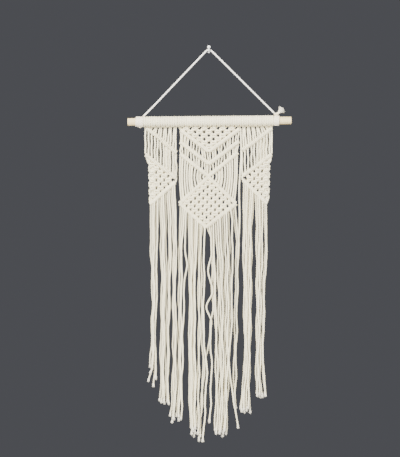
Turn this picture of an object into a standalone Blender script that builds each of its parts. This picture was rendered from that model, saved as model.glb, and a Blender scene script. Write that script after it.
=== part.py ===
"""Macrame wall hanging: three knotted cotton panels on a wooden dowel, hung by a cord from a small wall hook.

All sizes below are millimetres, +Z is up and the front faces -Y. The tables give heights from a level just
under the hook's centre, and the whole is then lowered by HOOK_HEIGHT, so that the origin is the centre of the
hook's flat back on the wall plane. Each knotted panel is one body of strands fused at ridged bars and nets.
Each fringe is one body of free strands rooted in the panel's lowest bar.
"""

import math
from typing import NamedTuple

import bmesh
import bpy
from mathutils import Matrix, Vector

MM = 0.001
CLEAR = 0.3  # gap between pieces that touch

# Wall hook
HOOK_HEIGHT = 3.2  # its centre above the level that the heights below are measured from
COLLAR_RADIUS = 2.8
COLLAR_THICKNESS = 1.2
COLLAR_TAPER = 0.4
COLLAR_SIDES = 20
PEG_RADIUS = 1.3
PEG_SIDES = 8
PEG_REACH = 10.6
ELBOW_LENGTH = 2.0
ELBOW_RISE = 1.5
TIP_RADIUS = 3.6
TIP_HEIGHT = 8.1

# Dowel
DOWEL_LENGTH = 348.5
DOWEL_RADIUS = 8.0
DOWEL_CENTRE = Vector((1.2, -12.5, -146.9))
DOWEL_TILT = math.radians(0.53)  # the right end is the higher one
DOWEL_EDGE = 0.8
DOWEL_SIDES = 28

# Cord and what is wound on the dowel
CORD_RADIUS = 2.0
BORE_RADIUS = DOWEL_RADIUS + CLEAR
RIDGE_RADIUS = 11.2
GROOVE_RADIUS = 10.4
WRAP_SPAN = (-157.0, -139.5)
WRAP_TURNS = 4
TIE_SPAN = (137.6, 150.4)
TIE_TURNS = 3
TIE_KNOT = Vector((144.0, -12.5, -132.6))
TIE_KNOT_SIZE = (4.6, 3.8, 3.9)
TUFT_LENGTH = 22.0
TUFT_ANGLE = math.radians(47)  # from upright, towards the right
TUFT_SECTIONS = ((0.0, 1.8), (0.3, 2.2), (0.65, 3.8), (1.0, 5.6))  # share of its length, half its width
TUFT_DEPTH = 0.5  # of its width
TUFT_SIDES = 8

# Hanger route, from the left turns over the hook to the right knot, chosen by hand
HANGER_ROUTE = (
    (-138.2, -12.5, -135.2),
    (-117.0, -11.1, -113.7),
    (-94.0, -9.7, -89.4),
    (-70.0, -8.3, -64.0),
    (-46.0, -6.8, -38.6),
    (-24.0, -5.5, -15.3),
    (-12.0, -4.7, -2.7),
    (-5.7, -4.2, 3.8),
    (-3.0, -4.0, 6.0),
    (0.0, -4.0, 6.8),
    (3.0, -4.0, 6.0),
    (5.7, -4.2, 3.9),
    (12.0, -4.7, -2.2),
    (24.0, -5.4, -14.1),
    (46.0, -6.8, -36.2),
    (70.0, -8.2, -60.3),
    (94.0, -9.7, -84.4),
    (117.0, -11.1, -107.5),
    (139.6, -12.5, -130.2),
)
HANGER_STEPS = 2  # straight pieces between two points of the route

# Knotted panels
PANEL_Y = -8.0
HEADING_Y = -9.6  # where the cords leave the heading
HEADING_DROP = 9.7  # from the dowel's axis down to the strands' upper ends
# Left end, right end, and number of lark's head knots between them
HEADINGS = {"left": (-139.1, -67.0, 7), "centre": (-66.6, 69.4, 14), "right": (69.8, 137.2, 7)}
SLEEVE_SIDES = 12
BAR_RADIUS = 5.0
BAR_GROOVE = 3.7
BAR_END = 3.2
BAR_SIDES = 5
RIDGE_PITCH = 12.0
STRAND_RADIUS = 2.2
STRAND_SIDES = 3
CORDS_IN_SIDE_PANEL = 14
CORDS_IN_CENTRE_PANEL = 28
PAST_AXIS = 1.0  # how far a cord at a panel's edge runs past the axis of the bar that takes it

# Half-hitch bars, as (x, z) points along the axis of each
LEFT_BARS = {
    "upper": ((-133.5, -161.5), (-106.1, -181.6), (-87.3, -199.1), (-69.0, -214.0)),
    "middle": ((-135.3, -217.9), (-96.5, -248.0), (-71.0, -267.2)),
    "lower": ((-72.0, -276.6), (-124.5, -323.0)),
}
RIGHT_BARS = {
    "upper": ((134.5, -161.0), (115.9, -175.6), (94.7, -192.0), (71.4, -208.0)),
    "middle": ((134.0, -217.0), (98.0, -244.6), (72.4, -262.6)),
    "lower": ((73.0, -272.2), (123.8, -322.0)),
}
BETWEEN_SIDE_BARS = {"left": (-128.8, -72.3), "right": (129.8, 73.7)}  # outermost and innermost cord
HOLDER_LEAN = 0.6  # the second cord leans to the upper bar's outer end and keeps this share of its offset
V_BARS = (
    ((-61.0, -165.6), (0.0, -211.1), (64.6, -163.8)),
    ((-61.2, -190.8), (0.0, -237.7), (63.9, -189.4)),
    ((-61.7, -216.0), (-1.1, -263.8), (61.4, -213.8)),
)
BETWEEN_V_BARS = ((-58.8, -2.4), (2.4, 61.0))  # first and last cord of the left and the right half
BOW_SHARES = (0.1, 0.98)  # places of the bowed strands along a V bar's arm
BOW_REACH = 0.9  # their lower ends, as a share of their upper places
BOW_DEPTH = 3.2
BOW_STEPS = 3
DIAMOND_TOP = (-1.1, -265.8)
DIAMOND_LEFT = (-63.4, -322.0)
DIAMOND_RIGHT = (58.5, -322.2)
DIAMOND_BOTTOM = (-6.4, -372.8)
CORNER_GAP = 5.6  # how far the diamond's upper bars stop short of its lower ones

# Nets of square knots: first knot's centre, the step down to the right, the step down to the left
NET_HALF_KNOT = 3.5
NET_EDGE_DEPTH = 3.0
NET_KNOT_DEPTH = 4.4
CENTRE_NET = {"first": (-1.4, -123.4), "right": (10.0, -7.7), "left": (-9.6, -7.7), "lines": 6}
DIAMOND_NET = {"first": (-1.9, -279.0), "right": (8.3, -8.1), "left": (-9.0, -8.1), "lines": 6}
LEFT_NET = {"first": (-121.0, -239.9), "right": (8.5, -8.1), "left": (-8.1, -8.4), "lines": 5}
RIGHT_NET = {"first": (122.3, -237.3), "right": (8.1, -8.4), "left": (-8.5, -8.0), "lines": 5}
NET_DROP_FOOT = -162.5  # lower ends of the cords that carry the centre net
NET_DROP_APART = 1.6
EDGE_AT_KNOT = 4.4  # from an outer knot's centre out to the cord that runs down the net's free side
EDGE_BETWEEN_KNOTS = 8.2

# Fringe
FRINGE_LEVELS = (-400.0, -511.0, -592.0, -680.0)


class Bundle(NamedTuple):
    """Strands that hang together: the x of their left and right side at each fringe level and at the ends."""

    name: str
    strands: int
    first_level: tuple
    second_level: tuple
    third_level: tuple
    fourth_level: tuple
    ends: tuple
    end_heights: tuple  # of the highest and the lowest end


class Swing(NamedTuple):
    """A single strand's wave to the right, or to the left where it is negative."""

    name: str
    middle: float
    half_height: float
    to_right: float


LEFT_FRINGE = (
    Bundle("outer", 5, (-126, -109), (-122, -111), (-123, -113), (-127, -113), (-133.5, -112), (-669, -716)),
    Bundle("mid", 4, (-104, -90), (-102.5, -89.5), (-104, -91), (-104.5, -91.5), (-105, -92), (-740, -748)),
    Bundle("join", 2, (-86.5, -79.5), (-88, -82.5), (-90, -84.5), (-90.5, -85.5), (-91, -86), (-742, -747)),
    Bundle("inner", 3, (-77.5, -68.5), (-77.5, -70.5), (-77.5, -69.5), (-78, -69), (-83, -72), (-771, -797)),
)
CENTRE_LEFT_FRINGE = (
    Bundle("corner", 3, (-64.5, -56.5), (-65.5, -57.5), (-66.5, -58), (-66.5, -59), (-69, -62), (-771, -788)),
    Bundle("wanderer", 1, (-50, -50), (-52.5, -52.5), (-55.5, -55.5), (-57, -57), (-59, -59), (-780, -780)),
    Bundle("left", 6, (-43.5, -26), (-42.5, -29), (-42.5, -29), (-43.5, -28), (-40, -28), (-797, -818)),
    Bundle("pair", 2, (-22, -18), (-23.5, -19.5), (-22.5, -18.5), (-24.5, -20.5), (-26, -21), (-793, -822)),
    Bundle("single", 1, (-10.2, -10.2), (-10.7, -10.7), (-11.7, -11.7), (-5, -5), (-12, -12), (-826, -826)),
    Bundle("apex_left", 1, (-14, -14), (-15.5, -15.5), (-15, -15), (-12.5, -12.5), (-18, -18), (-818, -818)),
)
CENTRE_RIGHT_FRINGE = (
    Bundle("crossing", 1, (5.5, 5.5), (6.6, 6.6), (3, 3), (-10, -10), (-21, -21), (-824, -824)),
    Bundle("looped", 1, (3, 3), (7.7, 7.7), (3.6, 3.6), (5.5, 5.5), (2, 2), (-784, -784)),
    Bundle("inner", 2, (8.5, 13), (10, 15), (13, 17), (14, 20), (12, 19), (-805, -814)),
    Bundle("broad", 7, (18.5, 46.5), (18.5, 46.5), (20, 46), (22.5, 43.5), (19, 38.5), (-801, -818)),
    Bundle("swinging", 1, (50, 50), (49, 49), (47.5, 47.5), (43.5, 43.5), (62, 62), (-796, -796)),
    Bundle("outer", 2, (58, 65), (54.5, 62.5), (53, 61), (52, 59), (53, 57.5), (-741, -763)),
)
RIGHT_FRINGE = (
    Bundle("inner", 7, (72.5, 92.5), (74, 91.5), (75, 90), (75, 87.5), (65.5, 88.5), (-756, -767)),
    Bundle("mid", 5, (100.5, 115.5), (101.5, 112), (101.5, 111), (100.5, 110), (100.5, 114.5), (-724, -735)),
    Bundle("outer", 2, (119.5, 124.5), (115.5, 119.5), (113.5, 117.5), (113, 117), (118, 122), (-728, -733)),
)
SWINGS = (
    Swing("looped", -470.0, 42.0, -8.0),
    Swing("looped", -542.0, 34.0, -10.5),
    Swing("wanderer", -455.0, 34.0, 3.5),
    Swing("crossing", -545.0, 40.0, 2.5),
)
LAYERS = 3
LAYER_PITCH = 4.6  # between the layers of strands, front to back
SINGLE_LAYERS = {"single": 2, "apex_left": 0, "crossing": 0, "looped": 1, "swinging": 2, "wanderer": 2}
ROOT_PITCH = 2.6  # between the layers inside the bar
ROOT_FALL = 24.0  # a strand takes this much height to leave its root for its own layer
ROOT_SETTLE = 0.25  # share of its sideways way that a strand has made by then
SETTLE_FALL = 70.0
FREE_STEP = 76.0  # height of one straight piece of a strand
SWING_STEP = 30.0  # the same on a strand that swings
ENDS_FALL = 46.0  # the last stretch, where the ends spread
ENDS_BEND = 0.4  # the ends bend at this share of it
END_STAGGER = 0.618  # spreads the lengths of neighbouring strands evenly
FLARE = 1.45

COTTON = (0.85, 0.82, 0.74)
HANGER_COTTON = (0.88, 0.87, 0.83)
PINE = (0.80, 0.66, 0.47)
WHITE_PLASTIC = (0.88, 0.88, 0.88)


def clear_scene():
    for item in list(bpy.data.objects):
        bpy.data.objects.remove(item, do_unlink=True)


def make_material(name, colour, roughness):
    material = bpy.data.materials.new(name)
    material.use_nodes = True
    shader = material.node_tree.nodes["Principled BSDF"]
    shader.inputs["Base Color"].default_value = (*colour, 1.0)
    shader.inputs["Roughness"].default_value = roughness
    shader.inputs["Metallic"].default_value = 0.0
    return material


def finish_object(name, shape, material, parent):
    """Turn a bmesh in millimetres into a named object in metres."""
    bmesh.ops.recalc_face_normals(shape, faces=shape.faces)
    bmesh.ops.scale(shape, vec=(MM, MM, MM), verts=shape.verts)
    mesh = bpy.data.meshes.new(name)
    shape.to_mesh(mesh)
    shape.free()
    mesh.shade_smooth()
    mesh.set_sharp_from_angle(angle=math.radians(40))
    mesh.materials.append(material)
    made = bpy.data.objects.new(name, mesh)
    bpy.context.scene.collection.objects.link(made)
    made.parent = parent
    return made


def axis_height(x):
    """Height of the dowel's axis at x."""
    return DOWEL_CENTRE.z + math.tan(DOWEL_TILT) * (x - DOWEL_CENTRE.x)


def height_on(bar, x):
    """Height of a bar's axis at x, also a little past its ends."""
    corners = sorted(bar)
    place = 0
    while place < len(corners) - 2 and x > corners[place + 1][0]:
        place += 1
    (x0, z0), (x1, z1) = corners[place : place + 2]
    return z0 + (z1 - z0) * (x - x0) / (x1 - x0)


def point_along(bar, share):
    """Point at a share of a bar's length."""
    spans = [math.dist(a, b) for a, b in zip(bar, bar[1:])]
    left = share * sum(spans)
    for (start, end), span in zip(zip(bar, bar[1:]), spans):
        if left <= span:
            break
        left -= span
    ratio = min(left / span, 1.0)
    return tuple(a + (b - a) * ratio for a, b in zip(start, end))


def ring(shape, centre, along, radius, sides, depth_share=1.0):
    """Ring of vertices round a centre, square to a direction, with its first corner towards the front."""
    front = Vector((0, -1, 0))
    front = (front - along * front.dot(along)).normalized()
    side = along.cross(front)
    made = []
    for corner in range(sides):
        angle = 2 * math.pi * corner / sides
        offset = front * depth_share * math.cos(angle) + side * math.sin(angle)
        made.append(shape.verts.new(centre + offset * radius))
    return made


def skin(shape, rings, capped=True):
    """Walls between neighbouring rings, and a cap at each end."""
    for lower, upper in zip(rings, rings[1:]):
        count = len(lower)
        for corner in range(count):
            following = (corner + 1) % count
            shape.faces.new((lower[corner], lower[following], upper[following], upper[corner]))
    if capped:
        shape.faces.new(rings[0][::-1])
        shape.faces.new(rings[-1])


def add_tube(shape, points, radii, sides, depth_share=1.0):
    """Closed tube through points, one radius a point."""
    rings = []
    for place, (point, radius) in enumerate(zip(points, radii)):
        before = points[max(place - 1, 0)]
        after = points[min(place + 1, len(points) - 1)]
        rings.append(ring(shape, point, (after - before).normalized(), radius, sides, depth_share))
    skin(shape, rings)


def add_strand(shape, points, flare=1.0):
    radii = [STRAND_RADIUS] * (len(points) - 1) + [STRAND_RADIUS * flare]
    add_tube(shape, [Vector(point) for point in points], radii, STRAND_SIDES)


def add_bar(shape, bar):
    """Half-hitch bar: a tube with one ridge for each pair of cords that is knotted over its core."""
    length = sum(math.dist(a, b) for a, b in zip(bar, bar[1:]))
    steps = 2 * max(2, round(length / RIDGE_PITCH))
    points = []
    radii = []
    for step in range(steps + 1):
        x, z = point_along(bar, step / steps)
        points.append(Vector((x, PANEL_Y, z)))
        radii.append(BAR_RADIUS if step % 2 else BAR_GROOVE)
    radii[0] = radii[-1] = BAR_END
    add_tube(shape, points, radii, BAR_SIDES)


def add_sleeve(shape, start, end, ridges):
    """Cord wound round the dowel: ridged outside, with a smooth bore."""
    along = Vector((math.cos(DOWEL_TILT), 0, math.sin(DOWEL_TILT)))
    bore = BORE_RADIUS / math.cos(math.pi / SLEEVE_SIDES)

    def place(x):
        return Vector((x, DOWEL_CENTRE.y, axis_height(x)))

    steps = 2 * ridges
    outer = []
    for step in range(steps + 1):
        x = start + (end - start) * step / steps
        radius = RIDGE_RADIUS if step % 2 else GROOVE_RADIUS
        outer.append(ring(shape, place(x), along, radius, SLEEVE_SIDES))
    inner = [ring(shape, place(x), along, bore, SLEEVE_SIDES) for x in (end, start)]
    skin(shape, [*outer, *inner, outer[0]], capped=False)


def reach(point, direction, bar, clearance):
    """How far a line from a point runs before it is this close to a straight bar's axis."""
    (x0, z0), (x1, z1) = bar
    length = math.dist(bar[0], bar[1])
    normal = ((z1 - z0) / length, -(x1 - x0) / length)
    offset = (point[0] - x0) * normal[0] + (point[1] - z0) * normal[1]
    speed = direction[0] * normal[0] + direction[1] * normal[1]
    return (math.copysign(clearance, offset) - offset) / speed


class KnotNet:
    """Net of square knots on two sets of slanting lines, with an open hole between each four knots."""

    def __init__(self, shape, plan, knots, stubs):
        self.shape = shape
        self.first = Vector(plan["first"])
        self.steps = {"right": Vector(plan["right"]), "left": Vector(plan["left"])}
        self.knots = knots
        self.stubs = stubs
        self.corners = {}
        for knot in knots:
            self.add_knot(knot)

    def flat(self, down_right, down_left):
        return self.first + self.steps["right"] * down_right + self.steps["left"] * down_left

    def corner(self, knot, sign_right, sign_left):
        """Front and back vertex at one corner of a knot."""
        key = (knot, sign_right, sign_left)
        if key not in self.corners:
            share_right = NET_HALF_KNOT / self.steps["right"].length
            share_left = NET_HALF_KNOT / self.steps["left"].length
            x, z = self.flat(knot[0] + sign_right * share_right, knot[1] + sign_left * share_left)
            self.corners[key] = self.pair(x, z, NET_EDGE_DEPTH)
        return self.corners[key]

    def pair(self, x, z, depth):
        return tuple(self.shape.verts.new((x, PANEL_Y + sign * depth, z)) for sign in (-1, 1))

    def add_knot(self, knot):
        centre = self.pair(*self.flat(*knot), NET_KNOT_DEPTH)
        around = [(-1, -1), (1, -1), (1, 1), (-1, 1)]
        outward = [(0, -1), (1, 0), (0, 1), (-1, 0)]
        for place, (right, left) in enumerate(outward):
            start = self.corner(knot, *around[place])
            end = self.corner(knot, *around[(place + 1) % 4])
            for face in (0, 1):
                self.shape.faces.new((start[face], end[face], centre[face]))
            neighbour = (knot[0] + right, knot[1] + left)
            if neighbour in self.knots:
                if (right, left) in ((1, 0), (0, 1)):
                    signs = [around[place], around[(place + 1) % 4]]
                    facing = [self.corner(neighbour, a - 2 * right, b - 2 * left) for a, b in signs]
                    self.add_link(start, end, *facing)
            else:
                self.close_side(start, end, right, left)

    def add_link(self, start, end, far_start, far_end):
        for face in (0, 1):
            self.shape.faces.new((start[face], far_start[face], far_end[face], end[face]))
        self.shape.faces.new((start[0], start[1], far_start[1], far_start[0]))
        self.shape.faces.new((end[1], end[0], far_end[0], far_end[1]))

    def close_side(self, start, end, right, left):
        """A wall, or a stub that runs to the bar beside the net."""
        step = self.steps["right"] * right + self.steps["left"] * left
        stub = self.stubs.get((right, left))
        if stub is None:
            self.shape.faces.new((start[0], start[1], end[1], end[0]))
            return
        bar, clearance = stub
        far = []
        for front, _ in (start, end):
            flat = (front.co.x, front.co.z)
            run = step.normalized() * reach(flat, step.normalized(), bar, clearance)
            far.append(self.pair(flat[0] + run.x, flat[1] + run.y, NET_EDGE_DEPTH))
        self.add_link(start, end, *far)
        self.shape.faces.new((far[0][0], far[0][1], far[1][1], far[1][0]))


def new_shape(filled_by, *details):
    """A bmesh filled by one of the functions above."""
    shape = bmesh.new()
    filled_by(shape, *details)
    return shape


def fuse(base, pieces, material):
    """Union of a base with helper pieces, which stay out of the render."""
    collection = bpy.data.collections.new(base.name + "_pieces")
    bpy.context.scene.collection.children.link(collection)
    for name, shape in pieces:
        helper = finish_object(f"{base.name}_{name}", shape, material, base.parent)
        bpy.context.scene.collection.objects.unlink(helper)
        collection.objects.link(helper)
        helper.hide_render = True
        helper.display_type = "WIRE"
    union = base.modifiers.new("fused", "BOOLEAN")
    union.operation = "UNION"
    union.operand_type = "COLLECTION"
    union.collection = collection
    union.solver = "EXACT"


def add_rod(shape, points, radius, sides):
    """Closed round rod through points of the plane X = 0."""
    side = Vector((1, 0, 0))
    rings = []
    for place, point in enumerate(points):
        before = points[max(place - 1, 0)]
        after = points[min(place + 1, len(points) - 1)]
        up = (after - before).normalized().cross(side)
        corners = []
        for corner in range(sides):
            angle = 2 * math.pi * corner / sides
            corners.append(shape.verts.new(point + (side * math.cos(angle) + up * math.sin(angle)) * radius))
        rings.append(corners)
    skin(shape, rings)


def make_hook(material, parent):
    """Collar against the wall, a peg, and an upturned stem with a round tip."""
    centre = Vector((0, 0, HOOK_HEIGHT))
    collar = bmesh.new()
    bmesh.ops.create_cone(
        collar,
        cap_ends=True,
        segments=COLLAR_SIDES,
        radius1=COLLAR_RADIUS,
        radius2=COLLAR_RADIUS - COLLAR_TAPER,
        depth=COLLAR_THICKNESS,
    )
    bmesh.ops.rotate(collar, verts=collar.verts, matrix=Matrix.Rotation(math.radians(90), 3, "X"))
    bmesh.ops.translate(collar, verts=collar.verts, vec=centre + Vector((0, -COLLAR_THICKNESS / 2, 0)))
    hook = finish_object("wall_hook", collar, material, parent)

    start = centre + Vector((0, -COLLAR_THICKNESS / 2, 0))
    turn = centre + Vector((0, -PEG_REACH + ELBOW_LENGTH, 0))
    elbow = centre + Vector((0, -PEG_REACH, ELBOW_RISE))
    peg = [start, turn, elbow]
    stem = [centre + Vector((0, -PEG_REACH, 0)), centre + Vector((0, -PEG_REACH, TIP_HEIGHT))]
    tip = bmesh.new()
    bmesh.ops.create_icosphere(tip, subdivisions=2, radius=TIP_RADIUS)
    bmesh.ops.translate(tip, verts=tip.verts, vec=stem[-1])
    pieces = (
        ("peg", new_shape(add_rod, peg, PEG_RADIUS, PEG_SIDES)),
        ("stem", new_shape(add_rod, stem, PEG_RADIUS, PEG_SIDES)),
        ("tip", tip),
    )
    fuse(hook, pieces, material)


def make_dowel(material, parent):
    shape = bmesh.new()
    bmesh.ops.create_cone(
        shape,
        cap_ends=True,
        segments=DOWEL_SIDES,
        radius1=DOWEL_RADIUS * MM,
        radius2=DOWEL_RADIUS * MM,
        depth=DOWEL_LENGTH * MM,
    )
    mesh = bpy.data.meshes.new("dowel")
    shape.to_mesh(mesh)
    shape.free()
    mesh.shade_smooth()
    mesh.set_sharp_from_angle(angle=math.radians(40))
    mesh.materials.append(material)
    dowel = bpy.data.objects.new("dowel", mesh)
    bpy.context.scene.collection.objects.link(dowel)
    dowel.parent = parent
    dowel.location = DOWEL_CENTRE * MM
    dowel.rotation_euler = (0, math.radians(90) - DOWEL_TILT, 0)
    edge = dowel.modifiers.new("eased ends", "BEVEL")
    edge.width = DOWEL_EDGE * MM
    edge.segments = 1
    edge.limit_method = "ANGLE"
    edge.angle_limit = math.radians(50)


def smooth_route(route, steps):
    """Points on a Catmull-Rom curve through the route."""
    knots = [Vector(point) for point in route]
    points = []
    for place in range(len(knots) - 1):
        before = knots[max(place - 1, 0)]
        start = knots[place]
        end = knots[place + 1]
        after = knots[min(place + 2, len(knots) - 1)]
        for step in range(steps):
            t = step / steps
            points.append(
                0.5
                * (
                    2 * start
                    + (end - before) * t
                    + (2 * before - 5 * start + 4 * end - after) * t * t
                    + (3 * start - before - 3 * end + after) * t**3
                )
            )
    return [*points, knots[-1]]


def make_hanger_cord(material, parent):
    curve = bpy.data.curves.new("hanger_cord", "CURVE")
    curve.dimensions = "3D"
    curve.bevel_depth = CORD_RADIUS * MM
    curve.bevel_resolution = 2
    curve.use_fill_caps = True
    spline = curve.splines.new("POLY")
    points = smooth_route(HANGER_ROUTE, HANGER_STEPS)
    spline.points.add(len(points) - 1)
    for target, point in zip(spline.points, points):
        target.co = (*(point * MM), 1.0)
    curve.materials.append(material)
    cord = bpy.data.objects.new("hanger_cord", curve)
    bpy.context.scene.collection.objects.link(cord)
    cord.parent = parent


def make_hanger_ends(material, parent):
    finish_object("hanger_wrap", new_shape(add_sleeve, *WRAP_SPAN, WRAP_TURNS), material, parent)
    tie = finish_object("hanger_tie", new_shape(add_sleeve, *TIE_SPAN, TIE_TURNS), material, parent)
    knot = bmesh.new()
    bmesh.ops.create_icosphere(knot, subdivisions=2, radius=1.0)
    bmesh.ops.scale(knot, vec=TIE_KNOT_SIZE, verts=knot.verts)
    bmesh.ops.translate(knot, verts=knot.verts, vec=TIE_KNOT)
    tuft_end = Vector((math.sin(TUFT_ANGLE), 0, math.cos(TUFT_ANGLE))) * TUFT_LENGTH
    centres = [TIE_KNOT + tuft_end * share for share, _ in TUFT_SECTIONS]
    widths = [width for _, width in TUFT_SECTIONS]
    tuft = new_shape(add_tube, centres, widths, TUFT_SIDES, TUFT_DEPTH)
    fuse(tie, (("knot", knot), ("tuft", tuft)), material)


def add_bars(shape, *bars):
    for bar in bars:
        add_bar(shape, bar)


def add_strands(shape, strands):
    for points in strands:
        add_strand(shape, points)


def heading_exits(side, cords):
    """Where each cord leaves a heading, from left to right."""
    start, end, _ = HEADINGS[side]
    exits = []
    for cord in range(cords):
        x = start + (end - start) * (cord + 0.5) / cords
        exits.append((x, HEADING_Y, axis_height(x) - HEADING_DROP))
    return exits


def drops_to(bar, exits):
    """Strands from the heading straight down to a bar."""
    return [(start, (start[0], PANEL_Y, height_on(bar, start[0]))) for start in exits]


def drops_between(upper, lower, places):
    """Strands from one bar straight down to the next."""
    return [((x, PANEL_Y, height_on(upper, x)), (x, PANEL_Y, height_on(lower, x))) for x in places]


def spread(start, end, count):
    return [start + (end - start) * place / (count - 1) for place in range(count)]


def diamond_net(lines):
    """Knots of a full net, as (steps down to the right, steps down to the left)."""
    return {(i, j) for i in range(lines) for j in range(lines)}


def lower_net(lines):
    """Knots of a full net's lower half, with its upright corner at the bottom."""
    return {(i, j) for i, j in diamond_net(lines) if i + j >= lines - 1}


def right_half_net(lines):
    return {(i, j) for i, j in diamond_net(lines) if j <= i}


def left_half_net(lines):
    return {(i, j) for i, j in diamond_net(lines) if i <= j}


def edge_points(side, start, plan):
    """Cord down a side net's free edge: in at each outer knot, out between two knots."""
    outward = -1 if side == "left" else 1
    fall = Vector(plan["right"]) + Vector(plan["left"])
    points = [(start[0] - outward * PAST_AXIS, PANEL_Y, start[1] - PAST_AXIS)]
    for place in range(plan["lines"]):
        x, z = Vector(plan["first"]) + fall * place
        points.append((x + outward * EDGE_BETWEEN_KNOTS, PANEL_Y, z - fall.y / 2))
        points.append((x + outward * EDGE_AT_KNOT, PANEL_Y, z))
    return points


def make_side_panel(side, bars, plan, knots, material, parent):
    """Heading, drops, two bars with cords between them, and the half net below."""
    exits = heading_exits(side, CORDS_IN_SIDE_PANEL)
    if side == "right":
        exits.reverse()
    outermost, holder, *others = exits
    base = finish_object(f"{side}_panel", new_shape(add_sleeve, *HEADINGS[side]), material, parent)
    middle_x, middle_z = bars["middle"][0]
    outer_drop = (outermost, (middle_x, PANEL_Y, middle_z - PAST_AXIS))
    upper_x, upper_z = bars["upper"][0]
    foot_x = upper_x + (holder[0] - upper_x) * HOLDER_LEAN
    holder_drop = (holder, (foot_x, PANEL_Y, upper_z - PAST_AXIS))
    from_heading = [outer_drop, holder_drop, *drops_to(bars["upper"], others)]
    places = spread(*BETWEEN_SIDE_BARS[side], CORDS_IN_SIDE_PANEL - 1)
    between = drops_between(bars["upper"], bars["middle"], places)
    up_to_middle, down_to_lower = ((0, -1), (1, 0)) if side == "left" else ((-1, 0), (0, 1))
    stubs = {
        up_to_middle: (bars["middle"][:2], 0.0),
        down_to_lower: (bars["lower"], BAR_RADIUS + CLEAR),
    }
    pieces = (
        ("bars", new_shape(add_bars, bars["upper"], bars["middle"])),
        ("drops", new_shape(add_strands, from_heading)),
        ("between", new_shape(add_strands, between)),
        ("net", new_shape(lambda shape: KnotNet(shape, plan, knots, stubs))),
        ("edge", new_shape(add_strands, [edge_points(side, bars["middle"][0], plan)])),
    )
    fuse(base, pieces, material)


def bowed_strands():
    """Strands from the third V bar round the crossing to the diamond's upper bars, on both sides."""
    left_end, apex, right_end = V_BARS[-1]
    strands = []
    count = CORDS_IN_CENTRE_PANEL // 2 - 1
    for side_end, corner, outward in ((left_end, DIAMOND_LEFT, -1), (right_end, DIAMOND_RIGHT, 1)):
        for share in spread(*BOW_SHARES, count):
            start = [a + (b - a) * share for a, b in zip(apex, side_end)]
            end = [a + (b - a) * share * BOW_REACH for a, b in zip(DIAMOND_TOP, corner)]
            bow = outward * BOW_DEPTH * (1 - share)
            points = []
            for step in range(BOW_STEPS + 1):
                t = step / BOW_STEPS
                x = start[0] + (end[0] - start[0]) * t + bow * math.sin(math.pi * t)
                z = start[1] + (end[1] - start[1]) * t
                points.append((x, PANEL_Y, z))
            strands.append(points)
    return strands


def net_drops(exits):
    """The two middle cords of each first knot of the centre net, drawn together from the heading."""
    strands = []
    for place in range(CENTRE_NET["lines"]):
        left, right = exits[3 + 4 * place : 5 + 4 * place]
        middle = (left[0] + right[0]) / 2
        for start, side in ((left, -0.5), (right, 0.5)):
            strands.append((start, (middle + side * NET_DROP_APART, PANEL_Y, NET_DROP_FOOT)))
    return strands


def diamond_upper_bars():
    """The diamond's upper bars, which stop short of its lower ones."""
    top = Vector(DIAMOND_TOP)
    ends = []
    for corner in (Vector(DIAMOND_LEFT), Vector(DIAMOND_RIGHT)):
        ends.append(tuple(corner + (top - corner).normalized() * CORNER_GAP))
    return ends[0], DIAMOND_TOP, ends[1]


def make_centre_panel(material, parent):
    """Heading, triangle net, three V bars, the bowed strands, and the diamond's upper bars with its net."""
    base = finish_object("centre_panel", new_shape(add_sleeve, *HEADINGS["centre"]), material, parent)
    exits = heading_exits("centre", CORDS_IN_CENTRE_PANEL)
    first, second, third = V_BARS
    outer_drops = drops_to(first, [*exits[:2], *exits[-2:]])
    places = []
    for half in BETWEEN_V_BARS:
        places.extend(spread(*half, CORDS_IN_CENTRE_PANEL // 2))
    upper_bars = diamond_upper_bars()
    centre_stubs = {(1, 0): (first[1:], 0.0), (0, 1): (first[:2], 0.0)}
    diamond_stubs = {
        (0, -1): (upper_bars[1:], 0.0),
        (-1, 0): (upper_bars[:2], 0.0),
        (1, 0): ((DIAMOND_BOTTOM, DIAMOND_RIGHT), BAR_RADIUS + CLEAR),
        (0, 1): ((DIAMOND_LEFT, DIAMOND_BOTTOM), BAR_RADIUS + CLEAR),
    }
    net_knots = lower_net(CENTRE_NET["lines"])
    diamond_knots = diamond_net(DIAMOND_NET["lines"])
    pieces = (
        ("v_bars", new_shape(add_bars, first, second)),
        ("third_v_bar", new_shape(add_bars, third)),
        ("diamond_bars", new_shape(add_bars, upper_bars)),
        ("net_drops", new_shape(add_strands, net_drops(exits))),
        ("outer_drops", new_shape(add_strands, outer_drops)),
        ("upper_strands", new_shape(add_strands, drops_between(first, second, places))),
        ("lower_strands", new_shape(add_strands, drops_between(second, third, places))),
        ("bowed_strands", new_shape(add_strands, bowed_strands())),
        ("net", new_shape(lambda shape: KnotNet(shape, CENTRE_NET, net_knots, centre_stubs))),
        ("diamond_net", new_shape(lambda shape: KnotNet(shape, DIAMOND_NET, diamond_knots, diamond_stubs))),
    )
    fuse(base, pieces, material)


def between_levels(levels, values, z):
    """Smooth value at a height, through the values at the levels."""
    if z >= levels[0]:
        return values[0]
    for place in range(len(levels) - 1):
        if z >= levels[place + 1]:
            break
    span = levels[place] - levels[place + 1]
    t = (levels[place] - z) / span
    before = values[max(place - 1, 0)]
    after = values[min(place + 2, len(values) - 1)]
    start, end = values[place], values[place + 1]
    slope_start = (end - before) / 2
    slope_end = (after - start) / 2
    return (
        start * (2 * t**3 - 3 * t**2 + 1)
        + end * (3 * t**2 - 2 * t**3)
        + slope_start * (t**3 - 2 * t**2 + t)
        + slope_end * (t**3 - t**2)
    )


def sideways(name, z):
    """Side swing of a single strand at a height."""
    total = 0.0
    for swing in SWINGS:
        if swing.name == name and abs(z - swing.middle) < swing.half_height:
            phase = math.pi * (z - swing.middle) / swing.half_height
            total += swing.to_right * 0.5 * (1 + math.cos(phase))
    return total


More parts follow.
